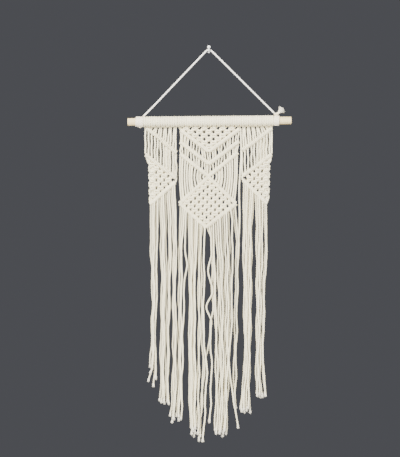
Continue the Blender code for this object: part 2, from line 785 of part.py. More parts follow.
def strand_points(bundle, place, root):
    """Points of one strand, from its root in the bar to its free end."""
    share = (place + 0.5) / bundle.strands
    levels = (bundle.first_level, bundle.second_level, bundle.third_level, bundle.fourth_level, bundle.ends)
    across = [left + (right - left) * share for left, right in levels]
    highest, lowest = bundle.end_heights
    end_z = highest + (lowest - highest) * (place * END_STAGGER % 1)
    heights = (*FRINGE_LEVELS, end_z)
    layer = (LAYERS - 1) / 2 - SINGLE_LAYERS.get(bundle.name, place % LAYERS)
    layer_y = PANEL_Y + layer * LAYER_PITCH
    root_x, root_z = root
    free_start = root_z - ROOT_FALL
    points = [
        (root_x, PANEL_Y + layer * ROOT_PITCH, root_z),
        (root_x + (across[0] - root_x) * ROOT_SETTLE, layer_y, free_start),
    ]
    free_end = end_z + ENDS_FALL
    pitch = SWING_STEP if any(swing.name == bundle.name for swing in SWINGS) else FREE_STEP
    steps = max(2, round((free_start - free_end) / pitch))
    for step in range(1, steps + 1):
        z = free_start + (free_end - free_start) * step / steps
        x = between_levels(heights, across, z) + sideways(bundle.name, z)
        settled = min(1.0, ROOT_SETTLE + (free_start - z) / SETTLE_FALL)
        points.append((root_x + (x - root_x) * settled, layer_y, z))
    bend_x = points[-1][0] + (across[-1] - points[-1][0]) * (1 - ENDS_BEND)
    points.append((bend_x, layer_y, end_z + ENDS_FALL * ENDS_BEND))
    points.append((across[-1], layer_y, end_z))
    return points


def fringe_strands(bundles, bar):
    """All the strands of one bar, rooted along it in the order of the bundles, left to right."""
    total = sum(bundle.strands for bundle in bundles)
    strands = []
    for bundle in bundles:
        for place in range(bundle.strands):
            share = (len(strands) + 0.5) / total
            strands.append(strand_points(bundle, place, point_along(bar, share)))
    return strands


def add_fringe(shape, strands):
    for points in strands:
        add_strand(shape, points, FLARE)


def make_fringe(name, backing, halves, material, parent):
    """Backing bar with its strands, given as halves of (bundles, the stretch of bar that they root in)."""
    base = finish_object(name, new_shape(add_bar, backing), material, parent)
    pieces = []
    for place, (bundles, stretch) in enumerate(halves):
        pieces.append((f"strands_{place}", new_shape(add_fringe, fringe_strands(bundles, stretch))))
    fuse(base, pieces, material)


def main():
    clear_scene()
    hanging = bpy.data.objects.new("macrame_wall_hanging", None)
    bpy.context.scene.collection.objects.link(hanging)
    hanging.location.z = -HOOK_HEIGHT * MM
    cotton = make_material("cotton", COTTON, 0.9)
    hanger_cotton = make_material("hanger_cotton", HANGER_COTTON, 0.85)
    pine = make_material("pine", PINE, 0.55)
    white_plastic = make_material("white_plastic", WHITE_PLASTIC, 0.4)

    make_hook(white_plastic, hanging)
    make_dowel(pine, hanging)
    make_hanger_cord(hanger_cotton, hanging)
    make_hanger_ends(hanger_cotton, hanging)
    make_side_panel("left", LEFT_BARS, LEFT_NET, right_half_net(LEFT_NET["lines"]), cotton, hanging)
    make_side_panel("right", RIGHT_BARS, RIGHT_NET, left_half_net(RIGHT_NET["lines"]), cotton, hanging)
    make_centre_panel(cotton, hanging)

    left_bar = LEFT_BARS["lower"]
    right_bar = RIGHT_BARS["lower"]
    make_fringe("left_fringe", left_bar, ((LEFT_FRINGE, left_bar[::-1]),), cotton, hanging)
    make_fringe("right_fringe", right_bar, ((RIGHT_FRINGE, right_bar),), cotton, hanging)
    centre_halves = (
        (CENTRE_LEFT_FRINGE, (DIAMOND_LEFT, DIAMOND_BOTTOM)),
        (CENTRE_RIGHT_FRINGE, (DIAMOND_BOTTOM, DIAMOND_RIGHT)),
    )
    make_fringe(
        "centre_fringe", (DIAMOND_LEFT, DIAMOND_BOTTOM, DIAMOND_RIGHT), centre_halves, cotton, hanging
    )


main()
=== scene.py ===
"""Looks of the macrame wall hanging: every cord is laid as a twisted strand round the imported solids.

Lengths are millimetres until a mesh is made, and metres in Blender. Heights are given from a level just under
the hook's centre, as in the solids' source, and each mesh is then lowered by HOOK_HEIGHT. +Z is up and the
front faces -Y.
"""

import logging
import math
from dataclasses import dataclass, field
from enum import Enum

import bmesh
import bpy
import numpy as np
from mathutils import Matrix, Vector


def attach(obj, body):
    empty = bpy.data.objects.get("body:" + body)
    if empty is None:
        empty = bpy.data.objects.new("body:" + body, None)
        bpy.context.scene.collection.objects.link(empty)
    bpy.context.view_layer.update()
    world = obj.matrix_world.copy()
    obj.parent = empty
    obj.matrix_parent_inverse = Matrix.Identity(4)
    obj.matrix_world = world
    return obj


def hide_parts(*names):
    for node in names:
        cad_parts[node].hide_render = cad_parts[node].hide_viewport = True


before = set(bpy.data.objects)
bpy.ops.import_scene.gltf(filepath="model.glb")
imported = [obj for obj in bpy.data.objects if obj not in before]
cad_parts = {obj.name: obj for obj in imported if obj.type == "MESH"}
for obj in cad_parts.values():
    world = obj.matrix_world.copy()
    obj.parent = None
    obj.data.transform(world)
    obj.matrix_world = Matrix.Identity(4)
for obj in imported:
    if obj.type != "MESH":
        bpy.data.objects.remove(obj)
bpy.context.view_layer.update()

log = logging.getLogger("macrame")

MM = 0.001
BODY = "root"
HOOK_HEIGHT = 3.2
BACK_CLEAR = 0.5  # least distance of a free strand or fibre from the plane of the hook's back
PANEL_Y = -8.0
TAIL_BACK = 1.6  # how far the tails start behind the panel's middle, where they leave the heading
DROP_BACK = 0.8  # how far the drops hang behind the panel's middle
INTO_BAR = 1.2  # how far behind the panel's middle a cord enters a bar or a net's column runs
CORDS_IN_SIDE_PANEL = 14
CORDS_IN_CENTRE_PANEL = 28
GOLDEN_ANGLE = 2.399963
FRONT = np.array((0.0, -1.0, 0.0))
ROD_CENTRE = (1.2, -12.5, -146.9)
ROD_AXIS = np.array((0.0, *ROD_CENTRE[1:]))

Point2 = tuple[float, float]
Point3 = tuple[float, float, float]
Knot = tuple[int, int]


class Side(Enum):
    """Place of a panel, as in the names of its pieces."""

    LEFT = "left"
    CENTRE = "centre"
    RIGHT = "right"


class Corner(Enum):
    """Corner of a square knot, as (across, up)."""

    UPPER_LEFT = (-1, 1)
    UPPER_RIGHT = (1, 1)
    LOWER_LEFT = (-1, -1)
    LOWER_RIGHT = (1, -1)


# --- Lines and cords --------------------------------------------------------------------------------------


def smooth_line(points: np.ndarray, step: float) -> np.ndarray:
    """Even points on a Catmull-Rom curve.

    Args:
        points: Rows of x, y, z and any further columns, which are carried along.
        step: Wanted distance between two points of the result.

    Returns:
        The rows of the smooth line, with its first and last row kept.
    """
    padded = np.vstack((2 * points[0] - points[1], points, 2 * points[-1] - points[-2]))
    before, start, end, after = padded[:-3], padded[1:-2], padded[2:-1], padded[3:]
    t = np.linspace(0.0, 1.0, 8, endpoint=False)[None, :, None]
    before, start, end, after = (row[:, None, :] for row in (before, start, end, after))
    fine = 0.5 * (
        2 * start
        + (end - before) * t
        + (2 * before - 5 * start + 4 * end - after) * t**2
        + (3 * start - before - 3 * end + after) * t**3
    )
    fine = np.vstack((fine.reshape(-1, points.shape[1]), points[-1]))
    along = np.concatenate(((0.0,), np.cumsum(np.linalg.norm(np.diff(fine[:, :3], axis=0), axis=1))))
    places = np.linspace(0.0, along[-1], max(2, round(along[-1] / step) + 1))
    return np.stack([np.interp(places, along, column) for column in fine.T], axis=1)


def line_length(points: np.ndarray) -> float:
    """Length of a line through points."""
    return float(np.linalg.norm(np.diff(points[:, :3], axis=0), axis=1).sum())


def offset_line(line: list[Point2], amount: float) -> list[Point2]:
    """A flat line moved to the left of its own direction.

    Args:
        line: Points (x, z).
        amount: How far to the left, in millimetres.

    Returns:
        As many points as the line has.
    """
    flat = np.array(line)
    way = np.gradient(flat, axis=0)
    way /= np.linalg.norm(way, axis=1)[:, None]
    left = np.stack((-way[:, 1], way[:, 0]), axis=1)
    return [tuple(point) for point in flat + left * amount]


@dataclass(frozen=True)
class Yarn:
    """Twisted cotton cord of three plies."""

    radius: float = 2.0
    plies: int = 3
    points_per_ply: int = 3
    lay_length: float = 15.0
    groove: float = 0.24

    @property
    def sides(self) -> int:
        """Points round the cord."""
        return self.plies * self.points_per_ply

    @property
    def step(self) -> float:
        """Distance between two rings, in which the plies turn by one point."""
        return self.lay_length / self.sides

    def grooves(self, rings: int) -> np.ndarray:
        """1 on each point that lies between two plies, and 0 on the others, a row for each ring."""
        ring, point = np.mgrid[0:rings, 0 : self.sides]
        return ((point - ring) % self.points_per_ply == 0).astype(float)


def carried_frame(middle: np.ndarray) -> tuple[np.ndarray, np.ndarray, np.ndarray]:
    """Directions of a strand at each point of its middle, with no twist of their own.

    Args:
        middle: Rows of x, y and z.

    Returns:
        Along the strand, to its front or another side of it, and across both, a row for each point.
    """
    way = np.gradient(middle, axis=0)
    way /= np.linalg.norm(way, axis=1)[:, None]
    side = np.empty_like(way)
    guess = FRONT if abs(way[0] @ FRONT) < 0.9 else np.array((1.0, 0.0, 0.0))
    for place, direction in enumerate(way):
        guess = guess - direction * (guess @ direction)
        guess = guess / np.linalg.norm(guess)
        side[place] = guess
    return way, side, np.cross(way, side)


def pressed(spokes: np.ndarray, middle: np.ndarray, way: np.ndarray, flat: np.ndarray) -> np.ndarray:
    """Rings of a strand pressed flat against the rod.

    Args:
        spokes: From the strand's middle to each point, a ring for each point of the middle.
        middle: Rows of x, y and z.
        way: Direction along the strand at each.
        flat: Thickness at each, as a share of the round strand's.

    Returns:
        The pressed spokes.
    """
    outward = (middle - ROD_AXIS) * (0.0, 1.0, 1.0)
    outward = outward - way * (outward * way).sum(axis=1)[:, None]
    outward /= np.linalg.norm(outward, axis=1)[:, None] + 1e-9
    taken = (1 - flat)[:, None] * np.einsum("ijk,ik->ij", spokes, outward)
    return spokes - taken[:, :, None] * outward[:, None, :]


class StrandMesh:
    """One mesh that gathers many twisted strands."""

    END_SHARES = (0.5, 0.88, 1.0)  # of the radius, on the rings from an end inwards

    def __init__(self, yarn: Yarn) -> None:
        """Start an empty mesh.

        Args:
            yarn: The cord that the strands are made of.
        """
        self.yarn = yarn
        self.points: list[np.ndarray] = []
        self.faces: list[tuple[int, ...]] = []
        self.spaces: list[np.ndarray] = []
        self.grooves: list[np.ndarray] = []
        # Brightness of each point: random, with painted shade on the fringe's back layers
        self.tones: list[np.ndarray] = []
        self.count = 0

    def lay(self, line: list | np.ndarray, tone_and_painted_shade: float = 1.0, radius: float | None = None) -> np.ndarray:
        """Lay one strand along a smooth line, with rounded ends.

        Args:
            line: Rows of x, y, z, or of x, y, z, the strand's radius there and its thickness as a share of
                it. Rows with a thickness under 1 are pressed flat against the rod.
            tone_and_painted_shade: Brightness of this strand, about 1, with painted shade on the fringe's
                back layers.
            radius: The strand's radius where the rows don't give it.

        Returns:
            The points of the strand's middle.
        """
        rows = np.array(line, float)
        if rows.shape[1] == 3:
            rows = np.column_stack((rows, np.full(len(rows), radius or self.yarn.radius), np.ones(len(rows))))
        rows = smooth_line(rows, self.yarn.step)
        middle, radii, flat = rows[:, :3], rows[:, 3], rows[:, 4]
        way, side, across = carried_frame(middle)

        sides = self.yarn.sides
        angles = 2 * np.pi * np.arange(sides) / sides
        groove = self.yarn.grooves(len(middle))
        from_end = np.minimum(np.arange(len(middle)), np.arange(len(middle))[::-1])
        radii = radii * np.interp(from_end, range(len(self.END_SHARES)), self.END_SHARES)
        reach = radii[:, None] * (1 - self.yarn.groove * groove)
        spokes = side[:, None, :] * np.cos(angles)[None, :, None]
        spokes = spokes + across[:, None, :] * np.sin(angles)[None, :, None]
        spokes = pressed(spokes * reach[:, :, None], middle, way, flat)

        turned = angles[None, :] - 2 * np.pi * np.arange(len(middle))[:, None] / sides
        along = np.arange(len(middle))[:, None] * self.yarn.step + np.zeros((1, sides))
        space = np.stack((reach * np.cos(turned), reach * np.sin(turned), along), axis=2)

        self.skin(len(middle))
        self.points.append((middle[:, None, :] + spokes).reshape(-1, 3))
        self.spaces.append(space.reshape(-1, 3))
        self.grooves.append(groove.ravel())
        self.tones.append(np.full(groove.size, tone_and_painted_shade))
        self.count += groove.size
        return middle

    def skin(self, rings: int) -> None:
        """Close the strand that comes next: its sides and a cap at each end.

        Args:
            rings: Number of its rings.
        """
        sides = self.yarn.sides
        first = self.count
        for ring in range(rings - 1):
            base = first + ring * sides
            for point in range(sides):
                near, near_next = base + point, base + (point + 1) % sides
                far, far_next = near + sides, near_next + sides
                self.faces.append((near, near_next, far_next))
                self.faces.append((near, far_next, far))
        last = first + (rings - 1) * sides
        self.faces.append(tuple(range(first + sides - 1, first - 1, -1)))
        self.faces.append(tuple(range(last, last + sides)))

    def make(self, name: str, material: bpy.types.Material, slot: str, node: str) -> bpy.types.Object:
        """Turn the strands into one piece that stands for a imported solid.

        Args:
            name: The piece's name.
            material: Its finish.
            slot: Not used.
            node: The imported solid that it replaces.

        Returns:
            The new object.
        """
        mesh = bpy.data.meshes.new(name)
        mesh.from_pydata((np.vstack(self.points) * MM).tolist(), [], self.faces)
        mesh.shade_smooth()
        mesh.materials.append(material)
        space = mesh.attributes.new("strand", "FLOAT_VECTOR", "POINT")
        space.data.foreach_set("vector", np.vstack(self.spaces).astype(np.float32).ravel())
        # groove marks where painted shade goes in the grooves; the second holds brightness and painted shade
        for attribute, values in (("groove", self.grooves), ("tone_and_painted_shade", self.tones)):
            column = mesh.attributes.new(attribute, "FLOAT", "POINT")
            column.data.foreach_set("value", np.concatenate(values).astype(np.float32))
        return place_piece(name, mesh, node)


def place_piece(name: str, mesh: bpy.types.Mesh, node: str) -> bpy.types.Object:
    """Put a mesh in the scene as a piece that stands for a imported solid.

    Args:
        name: The piece's name.
        mesh: Its mesh, in metres.
        node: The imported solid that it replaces.

    Returns:
        The new object.
    """
    mesh.transform(Matrix.Translation((0.0, 0.0, -HOOK_HEIGHT * MM)))
    piece = bpy.data.objects.new(name, mesh)
    bpy.context.scene.collection.objects.link(piece)
    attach(piece, BODY)
    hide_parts(node)
    log.info("%s: %d faces, stands for %s", name, len(mesh.polygons), node)
    return piece


class FibreMesh:
    """One mesh of loose fibres, as at a frayed end."""

    SIDES = 3
    ROWS = 5
    REACHES = (0.78, 1.0)  # of the brush's length
    OUTER_LOSS = 0.22  # share of the length that the outermost fibres lack
    CURLS = (-0.5, 0.5)  # of the spread
    THICKNESSES = (0.7, 1.05)
    TAPER = 0.55
    LEAN_POWER = 1.4
    ASIDE = (0.3, -1.0, 0.2)  # a direction that no brush points in

    def __init__(self, rng: np.random.Generator) -> None:
        """Start an empty mesh.

        Args:
            rng: Source of the fibres' small differences.
        """
        self.rng = rng
        self.points: list[Point3] = []
        self.faces: list[tuple[int, ...]] = []

    def fray(
        self,
        start: Point3,
        way: Point3,
        length: float,
        spread: float,
        fibres: int,
        root: float,
        thickness: float,
    ) -> None:
        """Add a brush of fibres.

        Args:
            start: Where the fibres leave the cord.
            way: Direction of the brush.
            length: Length of the longest fibre.
            spread: How far the outer fibres lean out at their tips.
            fibres: Number of fibres.
            root: Radius of the cord that they leave.
            thickness: Radius of a fibre at its root.
        """
        forward = Vector(way).normalized()
        side = forward.cross(Vector(self.ASIDE)).normalized()
        across = forward.cross(side)
        for fibre in range(fibres):
            angle = GOLDEN_ANGLE * fibre
            share = math.sqrt((fibre + 0.5) / fibres)
            out = side * math.cos(angle) + across * math.sin(angle)
            reach = length * self.rng.uniform(*self.REACHES) * (1 - self.OUTER_LOSS * share * share)
            curl = side * self.rng.uniform(*self.CURLS) + across * self.rng.uniform(*self.CURLS)
            thick = thickness * self.rng.uniform(*self.THICKNESSES)
            first = len(self.points)
            for row in range(self.ROWS):
                t = row / (self.ROWS - 1)
                lean = share * (root + spread * t**self.LEAN_POWER)
                middle = Vector(start) + forward * (reach * t) + out * lean
                middle = middle + curl * (spread * t * t)
                for corner in range(self.SIDES):
                    turn = 2 * math.pi * corner / self.SIDES
                    offset = side * math.cos(turn) + across * math.sin(turn)
                    offset = offset * thick * (1 - self.TAPER * t)
                    point = middle + offset
                    point.y = min(point.y, -BACK_CLEAR)
                    self.points.append(tuple(point * MM))
            self.skin(first)

    def skin(self, first: int) -> None:
        """Close one fibre.

        Args:
            first: Index of its first point.
        """
        sides = self.SIDES
        for row in range(self.ROWS - 1):
            for corner in range(sides):
                near = first + row * sides + corner
                near_next = first + row * sides + (corner + 1) % sides
                self.faces.append((near, near_next, near_next + sides, near + sides))
        last = first + (self.ROWS - 1) * sides
        self.faces.append(tuple(range(first + sides - 1, first - 1, -1)))
        self.faces.append(tuple(range(last, last + sides)))

    def make(self, name: str, material: bpy.types.Material, slot: str, node: str) -> bpy.types.Object:
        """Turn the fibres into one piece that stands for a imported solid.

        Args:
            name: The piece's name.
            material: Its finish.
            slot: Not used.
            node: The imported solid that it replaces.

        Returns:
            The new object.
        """
        mesh = bpy.data.meshes.new(name)
        mesh.from_pydata(self.points, [], self.faces)
        mesh.shade_smooth()
        mesh.materials.append(material)
        return place_piece(name, mesh, node)


# --- Finishes ---------------------------------------------------------------------------------------------


class NodeGraph:
    """Short way to write a material's nodes."""

    def __init__(self, name: str) -> None:
        """Start a material with its usual shader.

        Args:
            name: The material's name.
        """
        self.material = bpy.data.materials.new(name)
        self.material.use_nodes = True
        self.tree = self.material.node_tree
        self.shader = self.tree.nodes["Principled BSDF"]

    def add(self, kind: str, sockets: dict | None = None, **settings: object) -> bpy.types.Node:
        """Add one node.

        Args:
            kind: Its type, without the word ShaderNode.
            sockets: Input name or number to a value, or to the output socket that feeds it.
            **settings: Properties of the node itself.

        Returns:
            The node.
        """
        node = self.tree.nodes.new("ShaderNode" + kind)
        for name, value in settings.items():
            setattr(node, name, value)
        for name, value in (sockets or {}).items():
            if isinstance(value, bpy.types.NodeSocket):
                self.tree.links.new(value, node.inputs[name])
            else:
                node.inputs[name].default_value = value
        return node

    def blend(self, share: object, low: object, high: object, mode: str = "MIX") -> bpy.types.NodeSocket:
        """Colour between two colours.

        Args:
            share: Number or socket, 0 for the low colour.
            low: Colour or socket.
            high: Colour or socket.
            mode: Blender's blend type.

        Returns:
            The colour's socket.
        """
        node = self.add("Mix", data_type="RGBA", blend_type=mode)
        for place, value in ((0, share), (6, low), (7, high)):
            if isinstance(value, bpy.types.NodeSocket):
                self.tree.links.new(value, node.inputs[place])
            else:
                node.inputs[place].default_value = value
        return node.outputs[2]

    def noise(self, place: bpy.types.NodeSocket, scale: float, detail: float) -> bpy.types.NodeSocket:
        """Noise, from about 0 to 1, with this scale and detail at a place."""
        return self.add("TexNoise", {"Vector": place, "Scale": scale, "Detail": detail}).outputs[0]

    def between(self, source: bpy.types.NodeSocket, low: float, high: float) -> bpy.types.NodeSocket:
        """A value from 0 to 1 brought between two others."""
        return self.add("MapRange", {"Value": source, "To Min": low, "To Max": high}).outputs[0]

    def shade(self, colour: bpy.types.NodeSocket, strength: bpy.types.NodeSocket) -> bpy.types.NodeSocket:
        """A colour made darker or lighter by a plain factor."""
        grey = self.add("CombineColor", {channel: strength for channel in range(3)})
        return self.blend(1.0, colour, grey.outputs[0], "MULTIPLY")

    def bump(self, height: bpy.types.NodeSocket, strength: float, distance: float) -> None:
        """Give the shader a bump of this strength and depth, in metres."""
        node = self.add("Bump", {"Height": height, "Strength": strength, "Distance": distance})
        self.feed("Normal", node.outputs[0])

    def feed(self, socket: str, source: bpy.types.NodeSocket) -> None:
        """Link a socket of the shader."""
        self.tree.links.new(source, self.shader.inputs[socket])

    def set(self, **values: object) -> None:
        """Set plain values on the shader's own sockets, with _ for a space in a name."""
        for name, value in values.items():
            self.shader.inputs[name.replace("_", " ").title()].default_value = value


def darker(colour: tuple, share: float) -> tuple:
    """A colour at this share of its brightness."""
    return (*(share * part for part in colour[:3]), 1.0)


@dataclass(frozen=True)
class CottonFinish:
    """Matte twisted cotton."""

    name: str
    light: tuple
    warm: tuple
    # Colour of the painted shade in the grooves between plies
    groove: tuple
    roughness: float = 0.9
    fibre_stretch: Point3 = (2.6, 2.6, 0.4)
    # How strongly the painted groove shade is mixed in
    groove_painted_shade_share: float = 0.3
    patch_scale: float = 26.0
    patch_tones: Point2 = (0.93, 1.05)

    def material(self) -> bpy.types.Material:
        """Cotton with fibres along its plies, painted shade in its grooves and on back strands, slow changes
        of brightness.

        Returns:
            The material.
        """
        graph = NodeGraph(self.name)
        space = graph.add("Attribute", attribute_name="strand")
        groove = graph.add("Attribute", attribute_name="groove")
        tone_and_painted_shade = graph.add("Attribute", attribute_name="tone_and_painted_shade")
        place = graph.add("TexCoord").outputs["Object"]
        stretched = graph.add("Mapping", {"Vector": space.outputs["Vector"], "Scale": self.fibre_stretch})
        fibres = graph.noise(stretched.outputs[0], 1.0, 4.0)
        patches = graph.between(graph.noise(place, self.patch_scale, 3.0), *self.patch_tones)
        colour = graph.blend(fibres, self.warm, self.light)
        # Painted shade in the grooves between plies
        depth = graph.add("Math", {0: groove.outputs["Fac"], 1: self.groove_painted_shade_share}, operation="MULTIPLY")
        colour = graph.blend(depth.outputs[0], colour, self.groove)
        # Slow random changes times the strand's brightness, with painted shade on fringe back layers
        strength = graph.add("Math", {0: patches, 1: tone_and_painted_shade.outputs["Fac"]}, operation="MULTIPLY")
        graph.feed("Base Color", graph.shade(colour, strength.outputs[0]))
        graph.bump(fibres, 0.35, 0.0004)
        graph.set(roughness=self.roughness, sheen_weight=0.2, sheen_roughness=0.5)
        return graph.material


@dataclass(frozen=True)
class FibreFinish:
    """Loose combed cotton at a frayed end."""

    name: str
    root: tuple
    tip: tuple

    def material(self) -> bpy.types.Material:
        """Pale fibres with small differences between them.

        Returns:
            The material.
        """
        graph = NodeGraph(self.name)
        noise = graph.noise(graph.add("TexCoord").outputs["Object"], 400.0, 2.0)
        graph.feed("Base Color", graph.blend(noise, self.root, self.tip))
        graph.set(roughness=0.95, sheen_weight=0.3)
        return graph.material


@dataclass(frozen=True)
class PineFinish:
    """Sanded pine, with its grain along X."""

    name: str
    pale: tuple
    grain: tuple
    pith: Point3 = (0.0, 0.021, -0.009)
    streak_stretch: Point3 = (14.0, 420.0, 420.0)
    streak_tones: Point2 = (0.8, 1.12)
    streak_roughness: Point2 = (0.5, 0.68)

    def material(self) -> bpy.types.Material:
        """Growth rings round a pith beside the rod, fine pores and a soft bump.

        Returns:
            The material.
        """
        graph = NodeGraph(self.name)
        place = graph.add("TexCoord").outputs["Object"]
        rings_at = graph.add("Mapping", {"Vector": place, "Location": self.pith})
        waves = {"Scale": 95.0, "Distortion": 2.2, "Detail": 2.0, "Detail Scale": 0.6}
        rings = graph.add(
            "TexWave", {"Vector": rings_at.outputs[0], **waves}, wave_type="RINGS", rings_direction="X"
        )
        streaks_at = graph.add("Mapping", {"Vector": place, "Scale": self.streak_stretch})
        streaks = graph.noise(streaks_at.outputs[0], 1.0, 3.0)
        colour = graph.blend(rings.outputs["Fac"], self.grain, self.pale)
        graph.feed("Base Color", graph.shade(colour, graph.between(streaks, *self.streak_tones)))
        graph.feed("Roughness", graph.between(streaks, *self.streak_roughness))
        graph.bump(streaks, 0.25, 0.0003)
        return graph.material


@dataclass(frozen=True)
class PlasticFinish:
    """Moulded plastic."""

    name: str
    colour: tuple

    def material(self) -> bpy.types.Material:
        """Smooth plastic with a very fine unevenness.

        Returns:
            The material.
        """
        graph = NodeGraph(self.name)
        noise = graph.noise(graph.add("TexCoord").outputs["Object"], 900.0, 2.0)
        graph.feed("Base Color", graph.blend(noise, darker(self.colour, 0.94), self.colour))
        graph.feed("Roughness", graph.between(noise, 0.28, 0.42))
        graph.bump(noise, 0.1, 0.0001)
        return graph.material


@dataclass(frozen=True)
class FloorFinish:
    """Plain pale floor."""

    name: str = "pale_floor"
    colour: tuple = (0.62, 0.62, 0.61, 1.0)

    def material(self) -> bpy.types.Material:
        """Matte floor with a faint unevenness.

        Returns:
            The material.
        """
        graph = NodeGraph(self.name)
        noise = graph.noise(graph.add("TexCoord").outputs["Object"], 6.0, 4.0)
        graph.feed("Base Color", graph.blend(noise, darker(self.colour, 0.96), self.colour))
        graph.set(roughness=0.85)
        return graph.material


# Each groove colour is painted shade for the grooves between plies
COTTON = CottonFinish(
    name="natural_cotton",
    light=(0.97, 0.92, 0.72, 1.0),
    warm=(0.91, 0.83, 0.56, 1.0),
    groove=(0.48, 0.40, 0.25, 1.0),
)
HANGER_COTTON = CottonFinish(
    name="white_cotton",
    light=(0.95, 0.93, 0.89, 1.0),
    warm=(0.87, 0.84, 0.78, 1.0),
    groove=(0.60, 0.56, 0.50, 1.0),
)
WOUND_COTTON = CottonFinish(
    name="warm_white_cotton",
    light=(0.99, 0.92, 0.77, 1.0),
    warm=(0.94, 0.84, 0.64, 1.0),
    groove=(0.60, 0.50, 0.37, 1.0),
)
FRAYED = FibreFinish("frayed_cotton", (0.89, 0.84, 0.69, 1.0), (0.95, 0.91, 0.79, 1.0))
PINE = PineFinish("sanded_pine", (0.86, 0.73, 0.42, 1.0), (0.74, 0.57, 0.27, 1.0))
HOOK_PLASTIC = PlasticFinish("hook_plastic", (0.88, 0.88, 0.87, 1.0))


# --- Rod and hook -----------------------------------------------------------------------------------------


@dataclass
class Dowel:
    """The wooden rod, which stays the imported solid."""

    centre: Point3 = ROD_CENTRE
    tilt: float = math.radians(0.53)

    def height(self, x: float) -> float:
        """Height of the axis at x."""
        return self.centre[2] + math.tan(self.tilt) * (x - self.centre[0])

    def round_it(self, x: float, angle: float, distance: float) -> Point3:
        """Point beside the rod.

        Args:
            x: Place along the rod.
            angle: Degrees from the front, over the top.
            distance: From the rod's axis.

        Returns:
            The point.
        """
        turn = math.radians(angle)
        return (x, self.centre[1] - distance * math.cos(turn), self.height(x) + distance * math.sin(turn))

    def dress(self) -> None:
        """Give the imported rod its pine."""
        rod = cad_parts["dowel"]
        rod.data.materials.clear()
        rod.data.materials.append(PINE.material())
        log.info("dowel: sanded pine")


@dataclass
class WallHook:
    """Small white hook: a round collar, a bent peg and a ball at its tip."""

    # Radius and depth of the collar's outline, from its back to the peg
    collar_profile: tuple = ((2.8, 0.0), (2.8, 0.5), (2.65, 0.95), (2.3, 1.2), (1.7, 1.35), (1.35, 1.8))
    peg_start: float = 1.0
    peg_radius: float = 1.3
    peg_reach: float = 10.6
    bend: float = 2.6
    tip_height: float = 8.1
    tip_radius: float = 3.6
    tip_rows: int = 14
    bend_steps: int = 6
    collar_sides: int = 28
    peg_sides: int = 16
    tip_sides: int = 24
    sharp_from: float = 50.0  # degrees between two faces

    def add_collar(self, shape: bmesh.types.BMesh) -> None:
        """Turned collar with an eased rim.

        Args:
            shape: The mesh that takes it.
        """
        rings = []
        for radius, depth in self.collar_profile:
            ring = []
            for side in range(self.collar_sides):
                turn = 2 * math.pi * side / self.collar_sides
                ring.append(shape.verts.new((radius * math.cos(turn), -depth, radius * math.sin(turn))))
            rings.append(ring)
        self.skin(shape, rings)
        self.cap(shape, rings)

    def skin(self, shape: bmesh.types.BMesh, rings: list) -> None:
        """Sides between rings of points.

        Args:
            shape: The mesh that takes them.
            rings: Rings with the same number of points.
        """
        for near, far in zip(rings, rings[1:]):
            for side in range(len(near)):
                following = (side + 1) % len(near)
                shape.faces.new((near[side], near[following], far[following], far[side]))

    def cap(self, shape: bmesh.types.BMesh, rings: list) -> None:
        """Flat face at each end of the rings."""
        shape.faces.new(rings[0][::-1])
        shape.faces.new(rings[-1])

    def add_peg(self, shape: bmesh.types.BMesh) -> None:
        """Peg that leaves the collar and turns up.

        Args:
            shape: The mesh that takes it.
        """
        line = [(-self.peg_start, 0.0), (-self.peg_reach + self.bend, 0.0)]
        for step in range(1, self.bend_steps + 1):
            turn = math.pi / 2 * step / self.bend_steps
            line.append(
                (-self.peg_reach + self.bend * (1 - math.sin(turn)), self.bend * (1 - math.cos(turn)))
            )
        line.append((-self.peg_reach, self.tip_height))
        rings = []
        for place, (y, z) in enumerate(line):
            y_before, z_before = line[max(place - 1, 0)]
            y_after, z_after = line[min(place + 1, len(line) - 1)]
            way = Vector((0, y_after - y_before, z_after - z_before)).normalized()
            up = way.cross(Vector((1, 0, 0)))
            ring = []
            for side in range(self.peg_sides):
                turn = 2 * math.pi * side / self.peg_sides
                offset = (Vector((1, 0, 0)) * math.cos(turn) + up * math.sin(turn)) * self.peg_radius
                ring.append(shape.verts.new(Vector((0, y, z)) + offset))
            rings.append(ring)
        self.skin(shape, rings)
        self.cap(shape, rings)

    def add_tip(self, shape: bmesh.types.BMesh) -> None:
        """Ball at the peg's end, with a pole above and below.

        Args:
            shape: The mesh that takes it.
        """
        centre = Vector((0, -self.peg_reach, self.tip_height))
        rings = []
        for row in range(1, self.tip_rows):
            tilt = math.pi * row / self.tip_rows
            ring = []
            for side in range(self.tip_sides):
                turn = 2 * math.pi * side / self.tip_sides
                flat = Vector((math.cos(turn), math.sin(turn), 0)) * math.sin(tilt)
                ring.append(
                    shape.verts.new(centre + (flat + Vector((0, 0, math.cos(tilt)))) * self.tip_radius)
                )
            rings.append(ring)
        self.skin(shape, rings)
        for ring, up in ((rings[0], 1), (rings[-1], -1)):
            pole = shape.verts.new(centre + Vector((0, 0, up * self.tip_radius)))
            for side in range(self.tip_sides):
                shape.faces.new((pole, ring[side], ring[(side + 1) % self.tip_sides]))

    def build(self) -> None:
        """Make the hook as one piece of moulded plastic."""
        shape = bmesh.new()
        self.add_collar(shape)
        self.add_peg(shape)
        self.add_tip(shape)
        bmesh.ops.recalc_face_normals(shape, faces=shape.faces)
        bmesh.ops.translate(shape, vec=(0, 0, HOOK_HEIGHT), verts=shape.verts)
        bmesh.ops.scale(shape, vec=(MM, MM, MM), verts=shape.verts)
        mesh = bpy.data.meshes.new("wall_hook_moulding")
        shape.to_mesh(mesh)
        shape.free()
        mesh.shade_smooth()
        mesh.set_sharp_from_angle(angle=math.radians(self.sharp_from))
        mesh.materials.append(HOOK_PLASTIC.material())
        place_piece("wall_hook_moulding", mesh, "wall_hook")


# --- Hanger -----------------------------------------------------------------------------------------------


KNOT_STEPS = 24
KNOT_OPENING = 0.35  # angle left open at each end of the trefoil, in radians


